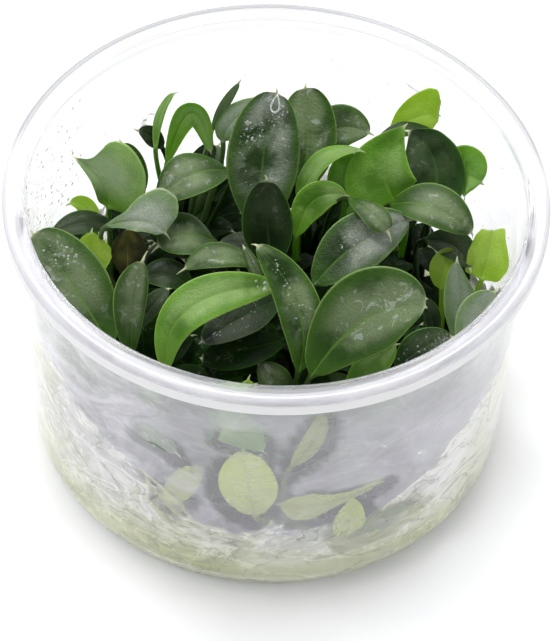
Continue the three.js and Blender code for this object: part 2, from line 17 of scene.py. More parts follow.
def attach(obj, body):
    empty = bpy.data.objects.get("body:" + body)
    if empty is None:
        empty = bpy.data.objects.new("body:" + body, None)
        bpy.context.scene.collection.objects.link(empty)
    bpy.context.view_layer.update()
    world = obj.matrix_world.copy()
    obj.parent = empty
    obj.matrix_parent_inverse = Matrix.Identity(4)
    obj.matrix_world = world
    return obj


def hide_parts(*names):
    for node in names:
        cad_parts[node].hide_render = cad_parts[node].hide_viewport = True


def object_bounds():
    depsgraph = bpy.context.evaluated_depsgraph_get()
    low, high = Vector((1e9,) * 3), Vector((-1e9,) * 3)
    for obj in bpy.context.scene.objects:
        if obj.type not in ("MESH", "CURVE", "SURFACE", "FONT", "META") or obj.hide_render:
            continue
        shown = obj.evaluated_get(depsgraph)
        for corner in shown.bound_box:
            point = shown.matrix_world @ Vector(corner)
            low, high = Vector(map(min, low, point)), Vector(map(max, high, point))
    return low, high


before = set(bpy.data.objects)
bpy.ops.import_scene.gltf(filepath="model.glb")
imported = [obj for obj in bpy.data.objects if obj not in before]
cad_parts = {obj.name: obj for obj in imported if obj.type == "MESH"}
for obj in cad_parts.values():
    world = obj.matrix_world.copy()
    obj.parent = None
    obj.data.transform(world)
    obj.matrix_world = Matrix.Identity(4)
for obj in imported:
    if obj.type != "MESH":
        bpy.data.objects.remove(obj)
CAD_BOX = [[float(v) for v in corner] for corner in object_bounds()]
print("nodes in the frame:", len(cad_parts))

# %% [markdown]
# The frame is in metres and a plant is easier to describe in millimetres. So every place and size
# below is in millimetres, and the helpers that make meshes turn them into metres. NO_AXIS is a
# direction that no path or surface here follows, so a sideways direction can be made from it.

# %% Units and small helpers
MM = 0.001
UP = np.array([0.0, 0.0, 1.0])
NO_AXIS = np.array([0.31, 0.17, 0.93])


def unit(v):
    return v / np.linalg.norm(v)


def square(direction, tangent):
    """The part of a direction that stands square to a tangent."""
    return unit(direction - direction.dot(tangent) * tangent)


def smooth(edge0, edge1, x):
    t = np.clip((x - edge0) / (edge1 - edge0), 0, 1)
    return t * t * (3 - 2 * t)


def link_object(name, data):
    """An object for a mesh, a camera or a lamp, linked to the scene."""
    obj = bpy.data.objects.new(name, data)
    bpy.context.scene.collection.objects.link(obj)
    return obj


def add_object(name, mesh, materials):
    """Links a mesh as an object of the scene, with its materials."""
    obj = link_object(name, mesh)
    for material in materials:
        mesh.materials.append(material)
    return obj


def add_turned(name, data, side, rise, away, place):
    """Links a camera or a lamp with the directions of its three axes, at a place in metres."""
    obj = link_object(name, data)
    obj.matrix_world = Matrix(
        [(side[i], rise[i], away[i], place[i]) for i in range(3)] + [(0, 0, 0, 1)])
    return obj


def mesh_from(name, verts, faces):
    """A smooth-shaded mesh from points in millimetres."""
    mesh = bpy.data.meshes.new(name)
    mesh.from_pydata([tuple(v) for v in np.asarray(verts) * MM], [], faces)
    mesh.polygons.foreach_set("use_smooth", [True] * len(mesh.polygons))
    mesh.update()
    return mesh


def write_maps(mesh, maps):
    """Writes maps, each with a pair of values for every point, to the corners of a mesh."""
    corners = np.zeros(len(mesh.loops), dtype=np.int32)
    mesh.loops.foreach_get("vertex_index", corners)
    for name, values in maps.items():
        layer = mesh.uv_layers.new(name=name)
        layer.data.foreach_set("uv", values[corners].ravel())


def ring_faces(count, width, offset=0, looped=False):
    """Faces over rings of points: bands between them, then a cap at each end if they are no loop."""
    faces = []
    for ring in range(count if looped else count - 1):
        here, following = offset + ring * width, offset + (ring + 1) % count * width
        for i in range(width):
            j = (i + 1) % width
            faces.append((here + i, here + j, following + j, following + i))
    if not looped:
        faces.append(tuple(offset + i for i in reversed(range(width))))
        faces.append(tuple(offset + (count - 1) * width + i for i in range(width)))
    return faces


print("box of the plain model in mm:", [[round(v / MM, 1) for v in corner] for corner in CAD_BOX])

# %% [markdown]
# The photograph looks down into the cup from the front at about fifty degrees, with the camera turned
# a little. The place of the camera follows from the two ellipses of rim and foot: they give the height
# of the view, the distance and the lens.

# %% Camera
IMAGE_HEIGHT = 641
VIEW_TARGET = np.array([0.0, 0.0, 28.0])
VIEW_DISTANCE = 450.0
VIEW_ELEVATION = 49.8
VIEW_ROLL = 2.8
VIEW_SHIFT_RIGHT = 0.8
VIEW_SHIFT_UP = -2.05
FOCAL_PIXELS = 2326.5
SENSOR = 36.0
CLIP_NEAR, CLIP_FAR = 0.01, 10

elevation = math.radians(VIEW_ELEVATION)
roll = math.radians(VIEW_ROLL)
back = np.array([0.0, -math.cos(elevation), math.sin(elevation)])
level_right = np.array([1.0, 0.0, 0.0])
level_up = np.cross(back, level_right)
right = math.cos(roll) * level_right + math.sin(roll) * level_up
top = -math.sin(roll) * level_right + math.cos(roll) * level_up
eye = VIEW_TARGET + VIEW_SHIFT_RIGHT * right + VIEW_SHIFT_UP * top + VIEW_DISTANCE * back

lens = bpy.data.cameras.new("camera")
lens.sensor_width = SENSOR
lens.sensor_fit = "AUTO"
lens.lens = FOCAL_PIXELS * SENSOR / IMAGE_HEIGHT
lens.clip_start = CLIP_NEAR
lens.clip_end = CLIP_FAR
bpy.context.scene.camera = add_turned("camera", lens, right, top, back, eye * MM)
print("camera at", np.round(eye, 1), "mm with a lens of", round(lens.lens, 1), "mm")

# %% [markdown]
# Every material is a small tree of nodes. These helpers keep the trees short to write: an input takes
# either a plain value or the output of another node, and a colour is given without its alpha. Most
# noises stay near their middle value, so a mottle uses only the span where they really vary.

# %% Shader helpers
MOTTLE = (0.3, 0.7)
SHARP_MOTTLE = (0.4, 0.6)


def new_material(name):
    """A material with its node tree, its Principled shader and its output node."""
    material = bpy.data.materials.new(name)
    material.use_nodes = True
    tree = material.node_tree
    return material, tree, tree.nodes["Principled BSDF"], tree.nodes["Material Output"]


def set_inputs(tree, node, inputs):
    """Fills inputs, by name or number: the output of a node is linked and a plain value is set."""
    for key, value in inputs.items():
        socket = node.inputs[key]
        if hasattr(value, "is_linked"):
            tree.links.new(value, socket)
        else:
            socket.default_value = (*value, 1) if socket.type == "RGBA" else value


def add_node(tree, kind, inputs=None, **settings):
    """A node of a kind, with its own settings and its inputs."""
    node = tree.nodes.new(kind)
    for key, value in settings.items():
        setattr(node, key, value)
    set_inputs(tree, node, inputs or {})
    return node


def math_node(tree, operation, *values, clamp=False):
    """The output of a Math node on up to three values."""
    inputs = dict(enumerate(values))
    return add_node(tree, "ShaderNodeMath", inputs, operation=operation, use_clamp=clamp).outputs[0]


def ramp_value(tree, value, low, high, to_low=0.0, to_high=1.0):
    """A value eased from one range to another."""
    inputs = {"Value": value, "From Min": low, "From Max": high, "To Min": to_low, "To Max": to_high}
    return add_node(
        tree, "ShaderNodeMapRange", inputs, interpolation_type="SMOOTHSTEP").outputs["Result"]


def mix_color(tree, factor, first, second, blend="MIX"):
    """The colour output of a Mix node."""
    inputs = {0: factor, 6: first, 7: second}
    return add_node(tree, "ShaderNodeMix", inputs, data_type="RGBA", blend_type=blend).outputs[2]


def mix_shaders(tree, share, first, second):
    """The output of a Mix Shader node, with a share of the second shader."""
    return add_node(tree, "ShaderNodeMixShader", {0: share, 1: first, 2: second}).outputs["Shader"]


def noise_of(tree, scale, detail=2.0, vector=None, roughness=0.5, distortion=0.0):
    """The value of a noise, over the object's box or over a vector."""
    inputs = {"Scale": scale, "Detail": detail, "Roughness": roughness, "Distortion": distortion}
    if vector is not None:
        inputs["Vector"] = vector
    return add_node(tree, "ShaderNodeTexNoise", inputs).outputs["Fac"]


def mottled(tree, value, dark, pale, low=0.0, high=1.0):
    """A colour that goes from dark to pale as a value goes from low to high."""
    ramp = add_node(tree, "ShaderNodeValToRGB", {"Fac": value})
    for element, place, color in zip(ramp.color_ramp.elements, (low, high), (dark, pale)):
        element.position = place
        element.color = (*color, 1)
    return ramp.outputs["Color"]


def bumped(tree, height, strength, distance):
    """The normal of a surface with a fine relief, whose distance is in metres."""
    inputs = {"Strength": strength, "Distance": distance, "Height": height}
    return add_node(tree, "ShaderNodeBump", inputs).outputs["Normal"]


def map_parts(tree, name):
    """The two values of one of a mesh's own maps."""
    own = add_node(tree, "ShaderNodeUVMap", uv_map=name)
    parts = add_node(tree, "ShaderNodeSeparateXYZ", {0: own.outputs["UV"]})
    return parts.outputs["X"], parts.outputs["Y"]


def place_parts(tree):
    """The place on an object in metres, and its x, y and z."""
    place = add_node(tree, "ShaderNodeTexCoord").outputs["Object"]
    return place, add_node(tree, "ShaderNodeSeparateXYZ", {0: place}).outputs


def from_axis(tree, place):
    """How far a place is from the upright axis of the cup."""
    flat = add_node(tree, "ShaderNodeVectorMath", {0: place, 1: (1.0, 1.0, 0.0)}, operation="MULTIPLY")
    return add_node(
        tree, "ShaderNodeVectorMath", {0: flat.outputs[0]}, operation="LENGTH").outputs["Value"]


# %% [markdown]
# The background is the white of a light table: it burns out to paper white, and only a soft grey
# shadow shows where the cup stands. A white floor under a white sky gives that. One broad lamp above
# and behind the cup adds to the silver sheen on the leaves, as a softbox does in a studio, and a smaller
# one from the left makes it crisper. Much of that sheen is also painted into the leaf colours.

# %% Stage and light
WHITE = (1.0, 1.0, 1.0)
SKY_BRIGHT = 1.12
SKY_DIM = 0.22
SKY_TOWARDS = (0.0, 0.55, 0.83)
SKY_DIM_TO, SKY_BRIGHT_FROM = -0.3, 0.9
FLOOR_WIDTH = 3.0
FLOOR_GREY = (0.9, 0.9, 0.915)
FLOOR_PAPER = (0.93, 0.93, 0.94)
LAMP_AIM = (0.0, 0.0, 0.04)
SOFTBOX_WIDTH = 0.5
SOFTBOX_PLACE = (-0.1, 0.26, 0.6)
SOFTBOX_POWER = 2.6
KEY_WIDTH = 0.16
KEY_PLACE = (-0.18, -0.02, 0.62)
KEY_POWER = 0.75

scene = bpy.context.scene
scene.view_settings.view_transform = "Standard"
scene.view_settings.look = "None"
world = bpy.data.worlds.new("white studio")
world.use_nodes = True
scene.world = world


def light_sky(tree):
    """A white sky that is brighter above and behind the cup than in front of it."""
    where = add_node(tree, "ShaderNodeTexCoord")
    along = add_node(tree, "ShaderNodeVectorMath", {
        0: where.outputs["Generated"], 1: SKY_TOWARDS}, operation="DOT_PRODUCT")
    strength = ramp_value(
        tree, along.outputs["Value"], SKY_DIM_TO, SKY_BRIGHT_FROM, SKY_DIM, SKY_BRIGHT)
    set_inputs(tree, tree.nodes["Background"], {"Color": WHITE, "Strength": strength})


def floor_material():
    """White paper: a faint mottle keeps it from being one flat colour."""
    material, tree, shader, _ = new_material("floor paper")
    paper = mottled(tree, noise_of(tree, 30.0, 3.0), FLOOR_GREY, FLOOR_PAPER)
    set_inputs(tree, shader, {"Base Color": paper, "Roughness": 0.9, "Specular IOR Level": 0.1})
    return material


def softbox(name, place, width, power):
    """A square lamp at a place in metres, turned to the cup."""
    lamp = bpy.data.lights.new(name, "AREA")
    lamp.shape = "SQUARE"
    lamp.size = width
    lamp.energy = power
    away = unit(np.array(place) - np.array(LAMP_AIM))
    side = unit(np.cross(UP, away))
    add_turned(name, lamp, side, np.cross(away, side), away, place)


light_sky(world.node_tree)
half = FLOOR_WIDTH / 2 / MM
floor_corners = [(-half, -half, 0), (half, -half, 0), (half, half, 0), (-half, half, 0)]
floor = add_object("floor", mesh_from("floor", floor_corners, [(0, 1, 2, 3)]), [floor_material()])
softbox("softbox", SOFTBOX_PLACE, SOFTBOX_WIDTH, SOFTBOX_POWER)
softbox("key", KEY_PLACE, KEY_WIDTH, KEY_POWER)
print("sky", SKY_DIM, "to", SKY_BRIGHT, "softbox", SOFTBOX_POWER, "W, key", KEY_POWER, "W")

# %% [markdown]
# All the leaves share the same marks, so these are built once, as a node group. The group takes the
# place on the blade and puts out masks only, and each leaf material then mixes its own greens with
# them. The place comes from the leaf's own map: across it from margin to margin, and along it from
# base to tip. A second map gives every leaf its own shade and its own part of the noise.

# %% Group: marks of a leaf blade
BLADE_MAP = "blade"
LOOK_MAP = "look"
LEAF_MASKS = ("Midrib", "Veins", "Margin", "Side", "Cells", "Blotches", "Middle", "Glare", "Base",
              "Lower", "Tail", "Shade")


def new_group(name, inputs, outputs):
    """A shader node group with named number sockets, the inputs with their usual values."""
    group = bpy.data.node_groups.new(name, "ShaderNodeTree")
    for socket, value in inputs.items():
        made = group.interface.new_socket(name=socket, in_out="INPUT", socket_type="NodeSocketFloat")
        made.default_value = value
    for socket in outputs:
        group.interface.new_socket(name=socket, in_out="OUTPUT", socket_type="NodeSocketFloat")
    return group, group.nodes.new("NodeGroupInput"), group.nodes.new("NodeGroupOutput")


def leaf_marks_group():
    """Masks of the midrib, the side veins, the margin and the mottled cells of a blade, and of its
    painted sheen and painted glints.
    """
    group, start, end = new_group(
        "leaf marks", {"Vein Count": 22.0, "Vein Slant": 1.2, "Margin": 0.075}, LEAF_MASKS)

    def product(first, second):
        return math_node(group, "MULTIPLY", first, second)

    def mask(value, zero, one):
        return ramp_value(group, value, zero, one)

    from_left, along = map_parts(group, BLADE_MAP)
    shade, seed = map_parts(group, LOOK_MAP)
    across = product(math_node(group, "ABSOLUTE", math_node(group, "SUBTRACT", from_left, 0.5)), 2.0)
    where = add_node(group, "ShaderNodeTexCoord")
    spot = add_node(group, "ShaderNodeVectorMath", {
        0: where.outputs["Object"], 1: seed}, operation="ADD").outputs[0]

    slant = product(math_node(group, "POWER", across, 0.8), start.outputs["Vein Slant"])
    wobble = product(noise_of(group, 320.0, vector=spot), 0.03)
    run = math_node(group, "ADD", math_node(group, "SUBTRACT", along, slant), wobble)
    wave = math_node(group, "SINE", product(run, product(start.outputs["Vein Count"], math.tau)))
    rib_width = math_node(group, "MULTIPLY_ADD", along, -0.045, 0.075)
    edge = math_node(group, "SUBTRACT", 1.0, start.outputs["Margin"])
    cells = add_node(group, "ShaderNodeTexVoronoi", {"Vector": spot, "Scale": 2600.0}, feature="F1")
    patches = noise_of(group, 75.0, 5.0, spot, roughness=0.55)
    # Painted sheen: a patchy mask in the middle of the blade, where the sky would mirror in it; painted
    # glints lie within it.
    painted_sheen_mask = product(
        product(mask(across, 0.92, 0.4), mask(along, 0.08, 0.5)), mask(patches, 0.34, 0.54))
    glints = noise_of(group, 420.0, 6.0, spot, roughness=0.7, distortion=0.8)
    set_inputs(group, end, {
        "Midrib": mask(math_node(group, "DIVIDE", across, rib_width), 1.0, 0.25),
        "Veins": product(mask(wave, 0.55, 1.0), mask(across, 0.97, 0.8)),
        "Margin": mask(across, edge, 1.0),
        "Side": mask(across, 0.55, 0.95),
        "Cells": cells.outputs["Distance"],
        "Blotches": noise_of(group, 150.0, 4.0, spot, roughness=0.6),
        "Middle": painted_sheen_mask,
        "Glare": product(painted_sheen_mask, mask(glints, 0.56, 0.62)),
        "Base": mask(along, 0.35, 0.0),
        "Lower": mask(along, 0.75, 0.15),
        "Tail": mask(along, 0.97, 1.02),
        # Shade: the leaf's own brightness from its look map, times a painted shade that darkens the stalk
        # down among the leaves.
        "Shade": product(shade, ramp_value(group, along, 0.0, 0.05, 0.35, 1.0)),
    })
    return group


LEAF_MARKS = leaf_marks_group()
print("leaf marks group sockets:", [s.name for s in LEAF_MARKS.interface.items_tree])

# %% [markdown]
# A Piptospatha leaf is thick and waxy. Its upper side is dark green with a silver sheen where the sky
# mirrors in it, its margin is a thin paler line, and light that comes through turns it a warm yellow
# green. A Principled shader gives the waxy green and part of the sheen, and a share of a Translucent
# shader the glow. The rest of the sheen is painted into the colour: a painted sheen in the middle of
# the blade, painted glints in it and painted sparkle on its cells. The young, thin leaves let far more
# light through than the old dark ones, and a withered one is brown. The low look is a darker copy of
# the colours, painted shade for leaves deep in the crowd. The washed look is for leaves that are seen
# through the misted wall, pressed against it: its pale colours are painted light that makes up for the
# dim light there, and its dark margin is a painted shadow line.

# %% Leaf materials
SIDE_SHARE, BASE_SHARE, MARGIN_SHARE, LOWER_RIB_SHARE = 0.6, 0.75, 0.85, 0.5
GLARE_COLOR = (0.55, 0.6, 0.56)
TAIL_COLOR = (0.62, 0.66, 0.4)
CELL_SPARKLE_TINT = (1.7, 1.68, 1.6)
VEIN_RELIEF, CELL_RELIEF, BLOTCH_RELIEF = 0.16, 0.4, 2.6
COAT_SHARE = 0.6


def leaf_material(name, deep, body, painted_sheen, side, margin, midrib, glow, glow_share, roughness,
                  frost=0.3, rib_share=0.35, painted_sheen_share=0.9, shine=0.5, glare=0.12, vein_share=0.12,
                  base=None):
    """A leaf: body colour with paler midrib and margin, a painted sheen with painted glints and sparkle,
    cells and veins in the bump, and a glow.
    """
    material, tree, shader, output = new_material(name)
    marks = add_node(tree, "ShaderNodeGroup", node_tree=LEAF_MARKS)
    out = marks.outputs

    def share_of(mask, share):
        return math_node(tree, "MULTIPLY", mask, share)

    color = mix_color(tree, ramp_value(tree, out["Blotches"], *SHARP_MOTTLE), deep, body)
    color = mix_color(tree, share_of(out["Side"], SIDE_SHARE), color, side)
    # Painted sheen: a silver colour in the middle of the blade, standing in for the sky mirrored in it.
    color = mix_color(tree, share_of(out["Middle"], painted_sheen_share), color, painted_sheen)
    color = mix_color(tree, share_of(out["Base"], BASE_SHARE), color, base or side)
    # Painted glints within the painted sheen.
    color = mix_color(tree, share_of(out["Glare"], glare), color, GLARE_COLOR)
    # Painted sparkle: the centres of the leaf's cells lightened.
    frosted = mix_color(tree, 1.0, color, CELL_SPARKLE_TINT, "MULTIPLY")
    color = mix_color(tree, share_of(ramp_value(tree, out["Cells"], 0.55, 0.15), frost), color, frosted)
    color = mix_color(tree, share_of(out["Veins"], vein_share), color, midrib)
    rib = math_node(tree, "MULTIPLY", out["Midrib"], math_node(
        tree, "MULTIPLY_ADD", out["Lower"], LOWER_RIB_SHARE, rib_share), clamp=True)
    color = mix_color(tree, rib, color, midrib)
    color = mix_color(tree, share_of(out["Margin"], MARGIN_SHARE), color, margin)
    color = mix_color(tree, out["Tail"], color, TAIL_COLOR)
    shaded = add_node(tree, "ShaderNodeVectorMath", {0: color, "Scale": out["Shade"]}, operation="SCALE")
    relief = math_node(
        tree, "MULTIPLY_ADD", out["Veins"], VEIN_RELIEF, share_of(out["Cells"], CELL_RELIEF))
    relief = math_node(tree, "ADD", relief, share_of(out["Blotches"], BLOTCH_RELIEF))
    set_inputs(tree, shader, {
        "Base Color": shaded.outputs[0],
        "Roughness": math_node(tree, "MULTIPLY_ADD", out["Blotches"], 0.35, roughness - 0.17),
        "Specular IOR Level": shine,
        "Coat Weight": shine * COAT_SHARE,
        "Coat Roughness": 0.16,
        "Normal": bumped(tree, relief, 0.8, 0.0003),
    })
    through = add_node(tree, "ShaderNodeBsdfTranslucent", {"Color": glow})
    leaf_light = mix_shaders(tree, glow_share, shader.outputs["BSDF"], through.outputs["BSDF"])
    set_inputs(tree, output, {"Surface": leaf_light})
    return material


LEAF_TONES = {
    "dark": dict(
        deep=(0.004, 0.015, 0.0015), body=(0.011, 0.037, 0.003),
        painted_sheen=(0.055, 0.08, 0.037), side=(0.02, 0.065, 0.007), margin=(0.11, 0.22, 0.04),
        midrib=(0.04, 0.1, 0.015), glow=(0.1, 0.3, 0.02), glow_share=0.08, roughness=0.36,
        painted_sheen_share=0.7, shine=0.2),
    # A darker copy of the dark colours: painted shade for leaves deep in the crowd.
    "low": dict(
        deep=(0.0015, 0.008, 0.0005), body=(0.005, 0.024, 0.001),
        painted_sheen=(0.009, 0.024, 0.003), side=(0.006, 0.03, 0.001), margin=(0.035, 0.11, 0.006),
        midrib=(0.02, 0.06, 0.004), glow=(0.08, 0.34, 0.005), glow_share=0.07, roughness=0.45,
        frost=0.1, painted_sheen_share=0.4, shine=0.05),
    "grey": dict(
        deep=(0.009, 0.034, 0.002), body=(0.03, 0.078, 0.008),
        painted_sheen=(0.185, 0.245, 0.125), side=(0.05, 0.125, 0.012), margin=(0.22, 0.34, 0.1),
        base=(0.05, 0.135, 0.01),
        midrib=(0.13, 0.27, 0.03), glow=(0.15, 0.4, 0.03), glow_share=0.14, roughness=0.36,
        frost=0.3, glare=0.45, shine=0.18),
    # Stronger painted sheen, glints and sparkle, for the two leaves that shine most.
    "frosted": dict(
        deep=(0.012, 0.036, 0.004), body=(0.036, 0.082, 0.014),
        painted_sheen=(0.3, 0.34, 0.28), side=(0.05, 0.12, 0.014), margin=(0.2, 0.32, 0.1),
        base=(0.03, 0.09, 0.006),
        midrib=(0.1, 0.2, 0.03), glow=(0.15, 0.4, 0.03), glow_share=0.12, roughness=0.34,
        frost=0.5, glare=0.6, shine=0.3),
    "bright": dict(
        deep=(0.07, 0.18, 0.012), body=(0.16, 0.34, 0.032),
        painted_sheen=(0.36, 0.52, 0.18), side=(0.19, 0.4, 0.03), margin=(0.42, 0.6, 0.18),
        midrib=(0.26, 0.48, 0.06), glow=(0.36, 0.74, 0.04), glow_share=0.35, roughness=0.4,
        painted_sheen_share=0.7, shine=0.3),
    "lime": dict(
        deep=(0.3, 0.44, 0.025), body=(0.48, 0.62, 0.07),
        painted_sheen=(0.58, 0.7, 0.2), side=(0.4, 0.6, 0.06), margin=(0.56, 0.68, 0.2),
        midrib=(0.5, 0.64, 0.14), glow=(0.6, 0.88, 0.06), glow_share=0.45, roughness=0.45,
        painted_sheen_share=0.5),
    "pale": dict(
        deep=(0.12, 0.19, 0.08), body=(0.22, 0.3, 0.18),
        painted_sheen=(0.36, 0.4, 0.34), side=(0.2, 0.32, 0.12), margin=(0.46, 0.54, 0.34),
        midrib=(0.28, 0.42, 0.16), glow=(0.36, 0.6, 0.14), glow_share=0.3, roughness=0.4,
        frost=0.45),
    "winged": dict(
        deep=(0.09, 0.19, 0.02), body=(0.17, 0.3, 0.06),
        painted_sheen=(0.26, 0.32, 0.2), side=(0.2, 0.32, 0.1), margin=(0.26, 0.4, 0.12),
        base=(0.1, 0.26, 0.01),
        midrib=(0.16, 0.32, 0.03), glow=(0.2, 0.5, 0.03), glow_share=0.25, roughness=0.38,
        frost=0.2, glare=0.1, painted_sheen_share=0.7),
    "mossy": dict(
        deep=(0.06, 0.13, 0.03), body=(0.14, 0.22, 0.08),
        painted_sheen=(0.3, 0.36, 0.24), side=(0.1, 0.2, 0.05), margin=(0.05, 0.09, 0.03),
        midrib=(0.3, 0.4, 0.16), glow=(0.2, 0.5, 0.06), glow_share=0.2, roughness=0.45,
        painted_sheen_share=0.5, shine=0.3, vein_share=0.2),
    "withered": dict(
        deep=(0.008, 0.008, 0.001), body=(0.045, 0.035, 0.005),
        painted_sheen=(0.3, 0.3, 0.06), side=(0.03, 0.03, 0.003), margin=(0.1, 0.11, 0.02),
        midrib=(0.2, 0.2, 0.05), glow=(0.3, 0.3, 0.03), glow_share=0.08, roughness=0.45,
        painted_sheen_share=0.5, shine=0.3),
    # Leaves against the misted wall: pale colours brightened for the dim light there, painted light, and
    # a dark margin that is a painted shadow line.
    "washed": dict(
        deep=(0.66, 0.74, 0.12), body=(0.8, 0.87, 0.2),
        painted_sheen=(0.84, 0.88, 0.42), side=(0.62, 0.72, 0.2), margin=(0.3, 0.38, 0.12),
        midrib=(0.42, 0.52, 0.08), glow=(0.8, 0.95, 0.3), glow_share=0.3, roughness=0.45,
        painted_sheen_share=0.5, shine=0.3, vein_share=0.55, rib_share=-0.1),
}
LEAF_LOOKS = {tone: leaf_material("leaf " + tone, **look) for tone, look in LEAF_TONES.items()}
print("leaf looks:", list(LEAF_LOOKS))

# %% [markdown]
# Twelve shoots carry forty-five grown leaves and some young ones. Each leaf is listed as one would
# note it from the photograph: where its blade starts, where its midrib passes half way, where it
# ends, how wide it is and which way its upper side faces. A heading of 0 faces the viewer and 90
# the right, and the rise is the slope of that direction. These are the same leaves as in the plain
# model, so each blade covers its own solid. Three more notes belong to the visible blade alone:
# `spread` widens its left and right half, and `drawn` moves it a little to its finer place. `margins`
# gives the outline of a half, left (-1) or right (1), by points: the share of the way to the tip, how
# far the margin reaches out there, and how far it slides on towards the tip, in millimetres.

# %% The plan of the shoots
JELLY_TOP = 9.5
STEM_RADIUS = 2.1
STALK_FOOT = 1.0
STALK_RADIUS_FOOT = 0.75
STALK_RADIUS_TOP = 0.5
STALK_SPREAD = 38
STALK_SPREAD_ROUNDS = 60
STALK_LIFT = 0.4
STALK_ARRIVAL = 0.16
GAP = 0.3
YOUNG_START_SHARE = 0.35
BLADE_FOLD = 12
BLADE_PEAK = 0.5
BLADE_BLUNT = 0.6
BLADE_SWELL = 0.85
TIP_HALF_WIDTH = 0.3
TAIL = 2.2
TAIL_SHARE = 0.45


def leaf(name, tone, base, mid, tip, width, heading, rise, **more):
    """One leaf of the plan, with what sets it apart from the others in `more`."""
    return {"name": name, "tone": tone, "base": base, "mid": mid, "tip": tip, "width": width,
            "heading": heading, "rise": rise, **more}
